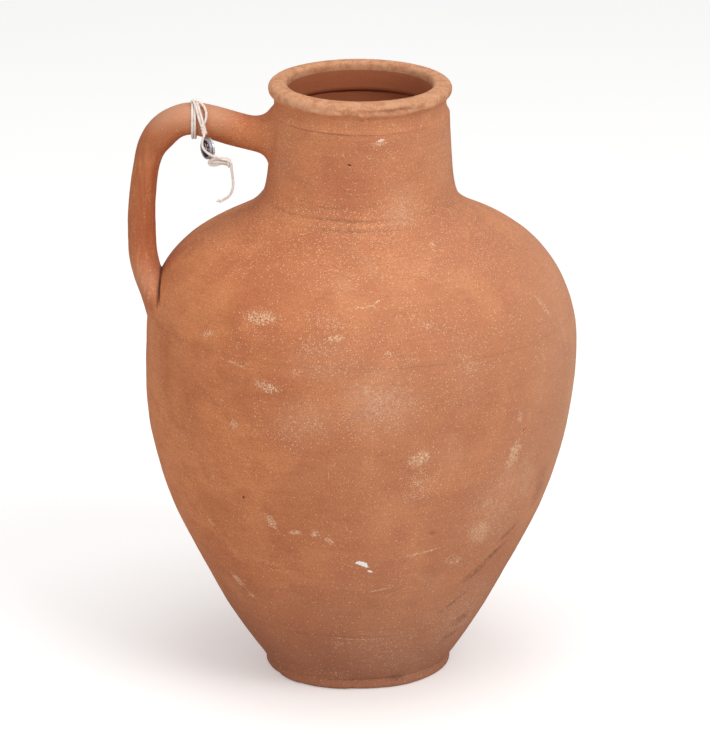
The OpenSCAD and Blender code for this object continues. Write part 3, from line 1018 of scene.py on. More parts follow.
        # Soot, chips of lime, and painted shade in seam grooves, the crevice under the handle, pits and pin holes
        sooty = board.times(sums[MarkKind.SMUDGE], board.span(board.noise(place, 0.35, 5.0, 0.7), 0.34, 0.56))
        colour = board.mix(board.times(sooty, 0.8), colour, self.sooty)
        colour = board.mix(sums[MarkKind.LIME], colour, self.lime)
        crease = board.stored("crease")
        deep = board.total([crease, sums[MarkKind.SHADE], sums[MarkKind.PIT]], "MAXIMUM")
        deep = board.math("MAXIMUM", deep, board.times(grain["Holes"], 0.55))
        colour = board.mix(board.times(deep, 0.82), colour, self.shade)
        board.feed(shader.inputs["Base Color"], colour)
        rough = board.span(dust, 0.0, 1.0, 0.86, 0.96)
        board.feed(shader.inputs["Roughness"], rough)
        shader.inputs["Specular IOR Level"].default_value = 0.28
        height = board.math("MULTIPLY_ADD", board.math("ADD", dashes, specks), 0.25, grain["Height"])
        height = board.math("MULTIPLY_ADD", deep, -1.2, height)
        bump = board.add("ShaderNodeBump", {"Strength": 0.55, "Distance": 0.0004, "Height": height})
        board.feed(shader.inputs["Normal"], bump.outputs[0])
        return material

    def _marks(
        self, board: Board, groups: ShaderGroups, wall: WallProfile, kind: MarkKind, place: Feed, ragged: Feed,
    ) -> Feed:
        """The joined mask of every placed mark of one kind, or 0 where there are none."""
        softness = {
            MarkKind.DUST: 0.95, MarkKind.RUDDY_AND_SHADE: 0.95, MarkKind.SMUDGE: 0.7, MarkKind.SCUFF: 0.75, MarkKind.LIME: 0.2,
            MarkKind.PIT: 0.4, MarkKind.SHADE: 0.6
        }
        fray = {
            MarkKind.DUST: 0.9, MarkKind.RUDDY_AND_SHADE: 0.9, MarkKind.SMUDGE: 1.2, MarkKind.SCUFF: 0.9, MarkKind.LIME: 1.7,
            MarkKind.PIT: 0.5, MarkKind.SHADE: 0.4
        }
        masks = []
        rough_edge = None
        for mark in self.marks:
            if mark.kind is not kind:
                continue
            if rough_edge is None:
                rough_edge = board.times(board.math("SUBTRACT", ragged, 0.5), fray[kind])
            centre, level, up, out = wall.frame(mark.angle, mark.height * MM)
            turn = math.radians(mark.turn)
            along = (level * math.cos(turn) + up * math.sin(turn)) / (mark.wide / 2)
            across = (up * math.cos(turn) - level * math.sin(turn)) / (mark.tall / 2)
            mask = board.group(
                groups.mark, Place=place, Centre=tuple(centre / MM), Along=tuple(along), Across=tuple(across),
                Through=tuple(out / 16.0), Ragged=rough_edge, Soft=softness[kind],
            )["Mask"]
            masks.append(board.times(mask, mark.strength))
        return board.total(masks, "MAXIMUM")

    def _lip_wear(self, board: Board, groups: ShaderGroups, place: Feed, z: Feed, colour: Feed) -> Feed:
        """Pale rubbed clay on the lip, with brown patches left in it."""
        lip = board.span(z, 438.0, 443.5)
        patchy = board.noise(place, 0.14, 6.0, 0.72, 0.6)
        rubbed = board.mix(board.span(patchy, 0.42, 0.62), self.worn_pale, self.worn_brown)
        nicks = board.span(board.noise(place, 0.6, 5.0, 0.75), 0.52, 0.66)
        rubbed = board.mix(board.times(nicks, 0.5), rubbed, self.deep)
        flakes = board.group(groups.scuff, Place=place, Stretch=(1.0, 1.0, 1.4), Amount=0.62)["Mask"]
        rubbed = board.mix(board.times(flakes, 0.5), rubbed, self.grit)
        return board.mix(board.times(lip, self.worn), colour, rubbed)

    def _handle_streaks(self, board: Board, place: Feed, x: Feed, z: Feed, colour: Feed) -> Feed:
        """Lengthwise smoothing streaks, darker where hands hold the upright part."""
        away = board.span(x, -104.0, -80.0, 1.0, 0.0)
        bend = board.times(board.times(board.span(z, 395.0, 415.0, 1.0, 0.0), board.span(z, 262.0, 300.0)), away)
        streaks = board.noise(board.vector("MULTIPLY", place, (0.32, 0.32, 0.02)), 1.0, 4.0, 0.6)
        amount = board.times(board.span(streaks, 0.38, 0.6), self.streaked)
        darker = board.mix(board.times(amount, bend), colour, self.ruddy)
        grip = board.times(board.times(board.span(z, 318.0, 345.0), board.span(z, 384.0, 392.0, 1.0, 0.0)), away)
        darker = board.mix(board.times(grip, 0.4), darker, tone(160, 86, 50))
        corner = board.times(board.span(x, -150.0, -126.0, 1.0, 0.0), board.span(z, 384.0, 400.0))
        darker = board.mix(board.times(corner, 0.55), darker, tone(156, 90, 58))
        # The strap is made paler along its top and at its pressed-on lower end.
        top = board.times(board.span(z, 408.0, 430.0, 0.0, 0.5), away)
        paler = board.math(
            "MAXIMUM", top, board.times(board.span(z, 300.0, 330.0, 0.25, 0.0), board.span(z, 286.0, 304.0))
        )
        return board.mix(paler, darker, self.dusty)


@dataclass
class Finishes:
    """Every material, built once."""

    groups: ShaderGroups
    wall: WallProfile

    def __post_init__(self) -> None:
        """Builds the clay, string and metal finishes."""
        low = tuple(m for m in WALL_MARKS if m.height < 435)
        high = tuple(m for m in WALL_MARKS if m.height > 395)
        side = tuple(m for m in WALL_MARKS if m.kind is MarkKind.DUST and abs(m.angle) > 140 and m.height > 240)
        self.clay = ClayFinish(Slot.CLAY, marks=low).material(self.groups, self.wall)
        self.lip = ClayFinish(Slot.LIP, worn=0.7, marks=high).material(self.groups, self.wall)
        self.handle = ClayFinish(Slot.HANDLE, streaked=0.75, marks=side).material(self.groups, self.wall)
        self.string = self._cotton()
        self.stamped = self._tin(Slot.STAMPED, tone(176, 172, 178), 0.34, 0.7)
        self.polished = self._tin(Slot.POLISHED, tone(226, 226, 230), 0.16, 0.25)
        self.grog = self._grog()

    def _cotton(self) -> Finish:
        """Undyed cotton with fine fibres that follow the twist."""
        material, board, shader = new_material("cotton_string", Slot.STRING)
        spot = board.millimetres()
        along = board.times(board.stored("along"), 1000.0)
        around = board.stored("around")
        ply = board.math("ABSOLUTE", board.math("COSINE", board.times(around, 1.5)))
        fibres = board.noise(
            board.join(board.math("MULTIPLY_ADD", along, 1.2, board.times(around, 1.4)), board.times(around, 3.0), 0.0),
            1.0, 4.0, 0.65
        )
        blotch = board.noise(spot, 0.25, 3.0, 0.6)
        colour = board.mix(board.span(blotch, 0.35, 0.65), tone(246, 238, 231), tone(236, 219, 208))
        # Painted shade in the grooves between the plies.
        colour = board.mix(board.span(ply, 0.0, 0.4, 0.32, 0.0), colour, tone(196, 170, 156))
        colour = board.mix(board.span(fibres, 0.3, 0.7, 0.2, 0.0), colour, tone(208, 186, 172))
        board.feed(shader.inputs["Base Color"], colour)
        board.feed(shader.inputs["Roughness"], board.span(fibres, 0.2, 0.8, 0.82, 0.95))
        shader.inputs["Specular IOR Level"].default_value = 0.25
        shader.inputs["Sheen Weight"].default_value = 0.35
        shader.inputs["Sheen Roughness"].default_value = 0.4
        bump = board.add("ShaderNodeBump", {"Strength": 0.5, "Distance": 0.00012, "Height": fibres})
        board.feed(shader.inputs["Normal"], bump.outputs[0])
        return material

    def _tin(self, slot: Slot, colour: tuple, rough: float, tarnish: float) -> Finish:
        """Tin plate with tarnish in its low places and fine scratches."""
        material, board, shader = new_material(slot.value, slot)
        place = board.millimetres()
        cloud = board.noise(place, 0.9, 4.0, 0.6)
        scratch = board.noise(board.vector("MULTIPLY", place, (6.0, 6.0, 0.8)), 1.0, 3.0, 0.6)
        sunk = board.stored("crease")
        dull = board.times(board.span(cloud, 0.35, 0.7), tarnish)
        shown = board.mix(board.times(dull, 0.45), colour, tone(86, 78, 84))
        shown = board.mix(sunk, shown, tone(58, 50, 58))
        board.feed(shader.inputs["Base Color"], shown)
        board.feed(
            shader.inputs["Roughness"],
            board.math("ADD", board.span(scratch, 0.3, 0.7, rough, rough + 0.15), board.times(dull, 0.2))
        )
        board.feed(shader.inputs["Metallic"], board.span(sunk, 0.0, 1.0, 1.0, 0.6))
        bump = board.add("ShaderNodeBump", {"Strength": 0.25, "Distance": 0.0001, "Height": scratch})
        board.feed(shader.inputs["Normal"], bump.outputs[0])
        return material

    def _grog(self) -> Finish:
        """Pale crushed grog that stands in the clay, each grain of its own shade."""
        material, board, shader = new_material("grog_grain", Slot.CLAY)
        place = board.millimetres()
        shade = board.noise(place, 0.45, 3.0, 0.7)
        board.feed(
            shader.inputs["Base Color"],
            board.mix(board.span(shade, 0.35, 0.65), tone(228, 182, 142), tone(206, 146, 106))
        )
        board.feed(shader.inputs["Roughness"], board.span(shade, 0.3, 0.7, 0.8, 0.95))
        shader.inputs["Specular IOR Level"].default_value = 0.3
        bump = board.add(
            "ShaderNodeBump", {"Strength": 0.4, "Distance": 0.0001, "Height": board.noise(place, 3.0, 3.0, 0.6)}
        )
        board.feed(shader.inputs["Normal"], bump.outputs[0])
        return material


# ---------------------------------------------------------------------------
# The clay body
# ---------------------------------------------------------------------------


@dataclass(frozen=True)
class Belt:
    """One thrown belt of the wall: its curves with the stretch used of each, and how finely it is cut."""

    node: str
    stretches: tuple[tuple[str, float, float], ...]
    segments: int
    step: float
    rings: float
    lumps: float


@dataclass
class ThrownBody:
    """The jug's foot, heel, belly, shoulder, neck and lip."""

    sizes: JugSizes
    hand: HandOfPotter
    trees: GeometryTrees
    finishes: Finishes
    ring_spacing: float = 8.5 * MM
    lump_size: float = 62 * MM
    grain_depth: float = 0.05 * MM
    foot_segments: int = 420
    foot_rings: float = 0.16 * MM
    foot_lumps: float = 0.5 * MM

    def build(self) -> list[Piece]:
        """Builds and dresses every clay belt, and gives the pieces."""
        s = self.sizes
        belts = (
            Belt("heel", (("flare", 0, s.heel_t),), 420, 1.6, 0.16, 0.5),
            Belt("belly", (("flare", s.heel_t, 1), ("bowl", 0, 1), ("crown", 0, s.seam_t)), 440, 2.2, 0.2, 0.55),
            Belt("shoulder", (("crown", s.seam_t, 1), ("root", 0, 1)), 440, 1.8, 0.18, 0.45),
            Belt("neck", (("throat", 0, 1),), 400, 1.3, 0.16, 0.35),
        )
        pieces = [self._foot()]
        pieces += [self._belt(belt) for belt in belts]
        pieces.append(self._lip())
        grog = self._grog(pieces[1:5])
        return [*pieces, grog]

    def _stations(self, curve: Cubic, start: float, end: float, step: float) -> np.ndarray:
        """Values of t along a stretch, closer together at both ends."""
        count = max(4, round(curve.length() * (end - start) / (step * MM)))
        even = np.linspace(0, 1, count + 1)
        extra = np.array([0.35, 0.9, 1.7]) * MM / (curve.length() * (end - start))
        stops = np.unique(np.concatenate([even[(even == 0) | (even == 1)], extra, 1 - extra, even[(even > extra[-1] * 1.3) & (even < 1 - extra[-1] * 1.3)]]))
        return start + (end - start) * stops

    def _section(self, belt: Belt) -> tuple[np.ndarray, np.ndarray, np.ndarray]:
        """The closed section of a belt: its points, the way out of the wall, and how much skin each has."""
        curves = self.sizes.curves()
        outer, out, inner = [], [], []
        for i, (name, start, end) in enumerate(belt.stretches):
            t = self._stations(curves[name], start, end, belt.step)
            t = t if i == 0 else t[1:]
            points, ways = curves[name].points(t), curves[name].outward(t)
            outer.append(points)
            out.append(ways)
            coarse = slice(None, None, 3)
            keep = np.unique(np.concatenate([np.arange(len(t))[coarse], [len(t) - 1]]))
            keep = keep if i == 0 else keep[keep > 0]
            inner.append((points[keep] - self.sizes.wall * ways[keep], -ways[keep]))
        inside = np.concatenate([p for p, _ in inner])[::-1]
        inside_way = np.concatenate([w for _, w in inner])[::-1]
        outside, way = np.concatenate(outer), np.concatenate(out)
        skin = np.concatenate([np.ones(len(outside)), np.full(len(inside), 0.6)])
        return np.concatenate([outside, inside]), np.concatenate([way, inside_way]), skin

    def _spun(
        self, name: str, section: np.ndarray, way: np.ndarray, skin: np.ndarray, segments: int, rings: float, lumps: float, material: Finish,
    ) -> Piece:
        """Spins a closed section round Z and lets the potter's hand work on it."""
        angle = np.linspace(0, FULL_TURN, segments, endpoint=False)
        cos, sin = np.cos(angle), np.sin(angle)

        def spin(pairs: np.ndarray) -> np.ndarray:
            radius, height = pairs[:, 0][:, None], pairs[:, 1][:, None]
            return np.stack(
                [radius * cos, radius * sin, np.broadcast_to(height, (len(pairs), segments))], axis=2
            ).reshape(-1, 3)

        points, ways = spin(section), spin(way)
        skins = np.repeat(skin, segments)
        moved, crease = self.hand.shape(points, ways, skins)
        crease = crease * (skins > 0.9)
        made = plain_mesh(name, moved, grid_faces(len(section), segments, True), way=ways, skin=skins, crease=crease)
        return run_tree(
            made, self.trees.thrown, name, Ring_Spacing=self.ring_spacing, Ring_Depth=rings * MM, Lump_Size=self.lump_size,
            Lump_Depth=lumps * MM, Grain_Depth=self.grain_depth, Material=material,
        )

    def _belt(self, belt: Belt) -> Piece:
        """One belt of the wall."""
        section, way, skin = self._section(belt)
        if belt.node == "heel":
            floor = np.array([[self.sizes.foot_r - 12 * MM, self.sizes.foot_h]])
            section, way, skin = np.concatenate([section, floor]), np.concatenate([way, [[0, 0]]]), np.append(skin, 0.0)
        made = self._spun(
            f"clay_{belt.node}", section, way, skin, belt.segments, belt.rings, belt.lumps, self.finishes.clay
        )
        return self._placed(made, belt.node)

    def _lip(self) -> Piece:
        """The collar and rolled lip."""
        curves = self.sizes.curves()
        outer, out = [], []
        for i, name in enumerate(("cavetto", "lip_under", "lip_outer", "lip_inner")):
            t = self._stations(curves[name], 0, 1, 0.75)
            t = t if i == 0 else t[1:]
            outer.append(curves[name].points(t))
            out.append(curves[name].outward(t))
        throat = curves["throat"]
        seat = (throat.points([1.0]) - self.sizes.wall * throat.outward([1.0]))[0]
        bore = np.array([(self.sizes.mouth_r, z) for z in np.linspace(self.sizes.top - 7 * MM, seat[1] + 3 * MM, 9)])
        under = np.array([(self.sizes.mouth_r + 1 * MM, seat[1] + 1.2 * MM), tuple(seat)])
        section = np.concatenate([*outer, bore, under])
        way = np.concatenate([*out, np.tile([-1.0, 0.0], (len(bore), 1)), [[-0.7, -0.7], [0, 0]]])
        skin = np.concatenate([np.ones(sum(map(len, outer))), np.full(len(bore), 0.8), [0.5, 0.0]])
        made = self._spun("clay_lip", section, way, skin, 460, 0.1, 0.5, self.finishes.lip)
        return self._placed(made, "rim")

    def _foot(self) -> Piece:
        """The slab that the jug stands on, flat underneath."""
        r, h = self.sizes.foot_r, self.sizes.foot_h
        segments = self.foot_segments
        edge = [(r - 3 * MM, 0.0), (r - 1.6 * MM, 0.25 * MM), (r - 0.6 * MM, 1 * MM), (r - 0.1 * MM, 2.2 * MM)]
        side = [(r, z) for z in np.linspace(3 * MM, h, 5)]
        inner = [(r * k, h) for k in (0.85, 0.6, 0.3)]
        below = [(r * k, 0.0) for k in (0.3, 0.6, 0.85)]
        section = np.array([*below, *edge, *side, *inner])
        way = np.zeros((len(section), 2))
        way[len(below):len(below) + len(edge) + len(side), 0] = 1.0
        skin = np.zeros(len(section))
        skin[len(below) + 1:len(below) + len(edge) + len(side)] = 1.0
        skin[len(below)] = 0.8
        angle = np.linspace(0, FULL_TURN, segments, endpoint=False)
        points = np.stack(
            [
                np.outer(section[:, 0], np.cos(angle)), np.outer(section[:, 0], np.sin(angle)),
                np.tile(section[:, 1:], (1, segments))
            ],
            axis=2
        ).reshape(-1, 3)
        ways = np.stack(
            [np.outer(way[:, 0], np.cos(angle)), np.outer(way[:, 0], np.sin(angle)), np.zeros((len(way), segments))],
            axis=2
        ).reshape(-1, 3)
        skins = np.repeat(skin, segments)
        moved, _ = self.hand.shape(points, ways, skins)
        moved[:, 2] = points[:, 2]
        faces = grid_faces(len(section), segments, False)
        first, last = len(moved), len(moved) + 1
        top_row = (len(section) - 1) * segments
        for j in range(segments):
            nxt = (j + 1) % segments
            faces += [(first, nxt, j), (last, top_row + j, top_row + nxt)]
        moved = np.concatenate([moved, self.hand.settle(np.array([[0, 0, 0], [0, 0, h]]))])
        ways = np.concatenate([ways, np.zeros((2, 3))])
        skins = np.concatenate([skins, np.zeros(2)])
        made = plain_mesh("clay_foot", moved, faces, way=ways, skin=skins, crease=np.zeros(len(skins)))
        made = run_tree(
            made, self.trees.thrown, "clay_foot", Ring_Spacing=self.ring_spacing, Ring_Depth=self.foot_rings,
            Lump_Size=self.lump_size, Lump_Depth=self.foot_lumps, Grain_Depth=self.grain_depth, Material=self.finishes.clay,
        )
        return self._placed(made, "foot")

    def _grog(self, walls: Sequence[Piece]) -> Piece:
        """Grains of grog on the outer wall, thickest at the foot of the neck."""
        points, faces, total = [], [], 0
        for seed, wall in enumerate(walls):
            copy = bpy.data.objects.new("grog_source", wall.data.copy())
            bpy.context.scene.collection.objects.link(copy)
            count = len(copy.data.vertices)
            place, skin = np.zeros(count * 3), np.zeros(count)
            copy.data.vertices.foreach_get("co", place)
            copy.data.attributes["skin"].data.foreach_get("value", skin)
            place = place.reshape(-1, 3)
            band = 0.12 + 0.7 * np.exp(-(((place[:, 2] - 350 * MM) / (22 * MM)) ** 2))
            clear = place[:, 0] > -118 * MM
            store = copy.data.attributes.new("grit", "FLOAT", "POINT")
            store.data.foreach_set("value", (band * (skin > 0.9) * clear).astype(np.float32))
            grains = run_tree(copy, self.trees.grit, "grog_part", Seed=seed + 3, Material=self.finishes.grog)
            found = np.zeros(len(grains.data.vertices) * 3)
            grains.data.vertices.foreach_get("co", found)
            points.append(found.reshape(-1, 3))
            faces += [tuple(v + total for v in p.vertices) for p in grains.data.polygons]
            total += len(grains.data.vertices)
            bpy.data.objects.remove(grains)
        made = plain_mesh("clay_grog_grains", np.concatenate(points), faces)
        made.data.materials.append(self.finishes.grog)
        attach(made, Body.JUG.value)
        return made

    def _placed(self, made: Piece, node: str) -> Piece:
        """Puts a clay piece in its node's place."""
        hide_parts(node)
        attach(made, Body.JUG.value)
        return made


@dataclass
class PulledHandle:
    """The strap handle, smeared onto the neck above and pressed onto the belly below."""

    wall: WallProfile
    hand: HandOfPotter
    trees: GeometryTrees
    finishes: Finishes
    sides: int = 88
    # Stations along the handle, in millimetres: x, z, half thickness, half width
    stations: tuple[tuple[float, float, float, float], ...] = (
        (-68, 406.2, 12.2, 14.4), (-81, 409.9, 12.3, 14.6), (-96, 414.6, 12.3, 14.8), (-110, 418.8, 12.1, 14.2),
        (-122, 421.0, 11.6, 14), (-134, 418.2, 11.5, 14), (-144.6, 410.5, 12.1, 14), (-152.4, 399.4, 10.9, 14),
        (-156.2, 386, 9.8, 14), (-159, 366, 10, 14), (-160.2, 344, 10.3, 14), (-159.4, 322, 10.6, 15.5),
        (-157, 307, 10.6, 22), (-154.2, 294, 9.6, 37), (-152.6, 283, 8.2, 45), (-152.0, 273, 6.6, 44), (-150, 260, 3.2, 36),
    )
    upper_fillet: tuple[float, float] = (17.0, 17.0)
    lower_fillet: tuple[float, float] = (10.0, 9.0)
    side_fillet: tuple[float, float] = (15.0, 9.0)
    belly_curve: float = 0.15
    low_end: float = 330 * MM
    free_depth: float = 3 * MM
    held_share: float = 0.68

    def build(self) -> Piece:
        """Builds and dresses the handle."""
        line = self._line()
        run = np.gradient(line[:, :2], axis=0)
        run /= np.linalg.norm(run, axis=1)[:, None]
        rings, ways = [], []
        for row, way in zip(line, run):
            ring, out = self._ring(row, way)
            rings.append(ring)
            ways.append(out)
        points, out = np.concatenate(rings), np.concatenate(ways)
        count = len(rings)
        faces = grid_faces(count, self.sides, False)
        first, last = len(points), len(points) + 1
        top_row = (count - 1) * self.sides
        for j in range(self.sides):
            nxt = (j + 1) % self.sides
            faces += [(first, nxt, j), (last, top_row + j, top_row + nxt)]
        points = np.concatenate([points, [rings[0].mean(0)], [rings[-1].mean(0)]])
        # What is pressed into the belly stays within the thickness of its wall
        radius = np.hypot(points[:, 0], points[:, 1])
        sunk = np.maximum(self.wall.radius(points[:, 2]) - radius - self.free_depth, 0) * (points[:, 2] < self.low_end)
        points[:, :2] *= (1 + self.held_share * sunk / radius)[:, None]
        out = np.concatenate([out, np.zeros((2, 3))])
        height = points[:, 2]
        # Painted shade: the crease number darkens the narrow wedge where the pressed-on end meets the belly.
        low = smooth_step((318 * MM - height) / (14 * MM))
        gap = np.hypot(points[:, 0], points[:, 1]) - self.wall.radius(height)
        crease = np.exp(-((gap / (1.6 * MM)) ** 2)) * low * smooth_step((height - 286 * MM) / (8 * MM))
        points += (self.hand.settle(points) - points) * smooth_step((330 * MM - height) / (40 * MM))[:, None]
        skin = np.ones(len(points))
        skin[-2:] = 0
        near_neck = smooth_step((np.hypot(points[:, 0], points[:, 1]) - self.wall.radius(np.clip(height, 0.37, 0.438))) / (6 * MM))
        skin *= np.where(height > 370 * MM, 0.15 + 0.85 * near_neck, 1.0)
        made = plain_mesh("clay_handle", points, faces, way=out, skin=skin, crease=crease)
        made = run_tree(
            made, self.trees.thrown, "clay_handle", Ring_Spacing=0.03, Ring_Depth=0.25 * MM, Lump_Size=24 * MM,
            Lump_Depth=0.7 * MM, Grain_Depth=0.06 * MM, Material=self.finishes.handle,
        )
        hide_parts("handle")
        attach(made, Body.JUG.value)
        return made

    def _line(self) -> np.ndarray:
        """Rows of x, z, half thickness, half width and height off the neck, in metres."""
        rows = np.array(self.stations) * MM
        dense = []
        for i in range(len(rows) - 1):
            a, b = rows[max(i - 1, 0)], rows[i]
            c, d = rows[i + 1], rows[min(i + 2, len(rows) - 1)]
            steps = max(4, round(float(np.linalg.norm(c[:2] - b[:2])) / (1.7 * MM)))
            for t in np.arange(steps) / steps:
                dense.append(0.5 * (2 * b + (c - a) * t + (2 * a - 5 * b + 4 * c - d) * t**2 + (3 * b - a - 3 * c + d) * t**3))
        dense.append(rows[-1])
        dense = np.array(dense)
        off = -dense[:, 0] - 68 * MM
        # The fillet's first rows lie close together, where it turns out of the wall
        alpha = np.linspace(0, 0.5 * math.pi, 14)
        near = self.upper_fillet[0] * MM * (1 - np.cos(alpha))
        order = np.argsort(off[:30])
        lead = np.stack([np.interp(near, off[:30][order], dense[:30, k][order]) for k in range(4)], axis=1)
        rest = dense[off > near[-1] + 0.6 * MM]
        rows = np.concatenate([lead, rest])
        return np.column_stack([rows, np.concatenate([near, off[off > near[-1] + 0.6 * MM]])])

    def _ring(self, row: np.ndarray, way: np.ndarray) -> tuple[np.ndarray, np.ndarray]:
        """One ring of the handle's skin and the way out of it at each point."""
        x, z, thick, wide, off = row
        up = np.array([way[1], -way[0]])
        turn = np.linspace(0, FULL_TURN, self.sides, endpoint=False)
        cos, sin = np.cos(turn), np.sin(turn)

        def grown(fillet: tuple[float, float]) -> float:
            reach, rise = fillet[0] * MM, fillet[1] * MM
            if off >= reach:
                return 0.0
            return rise * (1 - math.sqrt(max(0.0, 1 - (1 - off / reach) ** 2)))

        over = np.where(cos > 0, thick + grown(self.upper_fillet), thick + grown(self.lower_fillet))
        strap = np.sign(cos) * np.abs(cos) ** 0.86
        # A shallow finger channel down the outer face of the strap
        channel = 1 - 0.05 * np.exp(-((sin / 0.3) ** 2)) * (cos > 0)
        lift = strap * over * channel
        side = np.sign(sin) * np.abs(sin) ** 0.94 * (wide + grown(self.side_fillet))
        flat = np.stack([x + up[0] * lift, side, z + up[1] * lift], axis=1)
        level = z + up[1] * lift
        base = self.wall.radius(np.clip(level, 0.365, 438 * MM))
        round_r = base + off - (0.5 * MM if off < 0.3 * MM else 0.0)
        phi = side / base
        wrapped = np.stack([-round_r * np.cos(phi), round_r * np.sin(phi), level], axis=1)
        share = float(smooth_step(np.array([(26 * MM - off) / (22 * MM)]))[0]) if z > 0.38 else 0.0
        press = float(smooth_step(np.array([(318 * MM - z) / (22 * MM)]))[0])
        flat[:, 0] += press * (self.belly_curve - np.sqrt(self.belly_curve**2 - side**2))
        ring = self.hand.settle(wrapped) * share + flat * (1 - share)
        out = np.stack([up[0] * cos / max(thick, 1e-4), sin / max(wide, 1e-4), up[1] * cos / max(thick, 1e-4)], axis=1)
        out /= np.linalg.norm(out, axis=1)[:, None]
        return ring, out


# ---------------------------------------------------------------------------
# The string
# ---------------------------------------------------------------------------


def smooth_line(points: Sequence[Sequence[float]], step: float = 0.5) -> np.ndarray:
    """A smooth line through points.

    Args:
        points: Places in millimetres.
        step: The spacing of the new points, in millimetres.

    Returns:
        Points in metres, (n, 3).
    """
    rows = np.array(points, float)
    dense = []
    for i in range(len(rows) - 1):
        a, b = rows[max(i - 1, 0)], rows[i]
        c, d = rows[i + 1], rows[min(i + 2, len(rows) - 1)]
        steps = max(2, round(float(np.linalg.norm(c - b)) / step))
        for t in np.arange(steps) / steps:
            dense.append(0.5 * (2 * b + (c - a) * t + (2 * a - 5 * b + 4 * c - d) * t**2 + (3 * b - a - 3 * c + d) * t**3))
    dense.append(rows[-1])
    return np.array(dense) * MM


@dataclass
class TiedString:
    """The cotton string: two turns round the handle, three strands that hang and twist, and the tail."""

    trees: GeometryTrees
    finishes: Finishes
    diameter: float = 1.7
    swing: tuple[float, float, float] = (-114.3, -17.2, 420.8)
    tilt: tuple[float, float, float] = (-112.8, -19.6, 415.2)
    turn_x: tuple[float, float] = (-121.9, -120.0)
    turn: tuple[tuple[float, float], ...] = (
        (-3.4, 433.5), (-5.4, 433.1), (-9.2, 431.4), (-12.3, 428.6), (-14.4, 425.2), (-15.2, 421.2), (-14.8, 417), (-12.9, 413.2),
        (-9.9, 410), (-6.1, 407.9), (-2, 407), (2.2, 407), (6.3, 407.9), (10.1, 410), (13, 413.2), (14.8, 417),
        (15.2, 421.2), (14.4, 425.2), (12.3, 428.6), (9.2, 431.4), (5.4, 433.1),
    )
    left: tuple = (
        (-121.8, 2.6, 434.1), (-121.6, -0.2, 434.9), (-121.3, -3, 435.3), (-120.9, -5.8, 435.1), (-120, -8.8, 434), (-119, -11.7, 432),
        (-118.1, -14, 429.2), (-117.2, -15.6, 426.2), (-116.2, -16.7, 423.2),
    )
    middle: tuple = (
        (-119.9, 2.6, 434.0), (-119.6, -0.2, 434.6), (-119.2, -3, 434.9), (-118.7, -5.8, 434.6), (-118, -8.8, 433.6), (-117, -11.7, 431.6),
        (-116.1, -14, 429), (-115.1, -15.6, 426.2), (-114.3, -16.9, 423.6),
    )
    over: tuple = (
        (-122.9, -4.4, 434.2), (-122.2, -5.0, 435.6), (-120.6, -5.8, 436.3), (-118.6, -6.3, 435.9), (-116.4, -6.8, 434.9), (-114.6, -7.8, 433.4), (-113.1, -9.6, 431.9), (-112, -12, 429.8), (-111.6, -14.2, 427.4),
        (-111.8, -15.8, 425.2), (-112.5, -16.8, 423),
    )
    tail: tuple = (
        (-112.9, -21.4, 415.4), (-113, -22.9, 414.4), (-113.7, -23, 412.6), (-114.2, -23.2, 410.5), (-114.4, -23.7, 408.4),
        (-114, -24.7, 406.4), (-113, -26.2, 404.8), (-111.4, -28.1, 403.6), (-109.5, -30.1, 402.7), (-107.3, -31.5, 401.8),
        (-104.9, -31.2, 400.6), (-102.8, -29.6, 399.2), (-100.6, -28.1, 398.1), (-98, -27.4, 397.4), (-95.4, -27.2, 396.6),
        (-93.5, -27.2, 394.8), (-93.1, -26.8, 392.4), (-93, -26.1, 389.4), (-92.6, -25.5, 386.4), (-92.2, -25.1, 383),
        (-91.9, -24.9, 379.6), (-92, -24.8, 376.2), (-92.8, -24.6, 373), (-94.1, -24.4, 370.2), (-96.2, -24.2, 367.9),
        (-98.6, -24.1, 366.4), (-100.2, -24, 365.4),
    )
    # Flattened strands of the pulled knot: their points and half thickness
    wad: tuple = (
        (
            (
                (-108.4, -26.4, 396.6), (-105.2, -26.2, 397.4), (-101, -25.4, 397.3), (-97.2, -24.9, 396.9),
                (-93.7, -24.3, 395.6)
            ),
            1.3
        ),
        (
            (
                (-108, -26.2, 393.4), (-104.6, -26, 393.2), (-100.4, -25, 394.2), (-96.8, -24.4, 393.4),
                (-93.6, -24, 392.8)
            ),
            1.25
        ),
        (((-107, -27, 395), (-103.2, -26.8, 395.4), (-99.2, -26.2, 395.2), (-95, -25.4, 394.4)), 1.25),
        (((-107.6, -24.9, 395), (-103, -24.4, 395.2), (-98.4, -23.8, 395), (-94.2, -22.9, 394.2)), 1.25),
        (
            (
                (-106.4, -26.6, 396.8), (-108.6, -26.6, 396.4), (-109.4, -26.4, 395), (-108.8, -26.4, 393.6),
                (-106.8, -26.4, 393)
            ),
            1.05
        ),
        (
            (
                (-96.2, -22.2, 396.2), (-96.9, -24.4, 397.8), (-96.2, -26.6, 396.4), (-95.2, -27, 394),
                (-94.9, -25.6, 391.7), (-95.3, -23.4, 391.9), (-95.8, -22.4, 393.6)
            ),
            0.8
        ),
    )

    def build(self) -> list[Piece]:
        """Builds and dresses every length of string and its knots."""
        turns = [[(x, y, z) for y, z in self.turn] for x in self.turn_x]
        left = self._strand("string_left", [*turns[0], *self.left, *self._twist(180)])
        right = self._strand("string_right", [*turns[1], *self.middle, *self._twist(60)])
        over = self._strand("string_over", [*self.over, *self._twist(-60)])
        tail = self._strand("string_tail", self.tail)
        binding = self._binding()
        bundle = self._bundle()
        tip = self._tip()
        self._hung(left, ("loop_left", "hang_left"))
        self._hung(right, ("loop_right", "hang_middle"))
        self._hung(over, ("hitch_knot", "hang_right", "cross_knot", "stem"))
        made, line = tail
        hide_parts("tail_string")
        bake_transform(made)
        return [left[0], right[0], over[0], made, binding[0], bundle, tip]

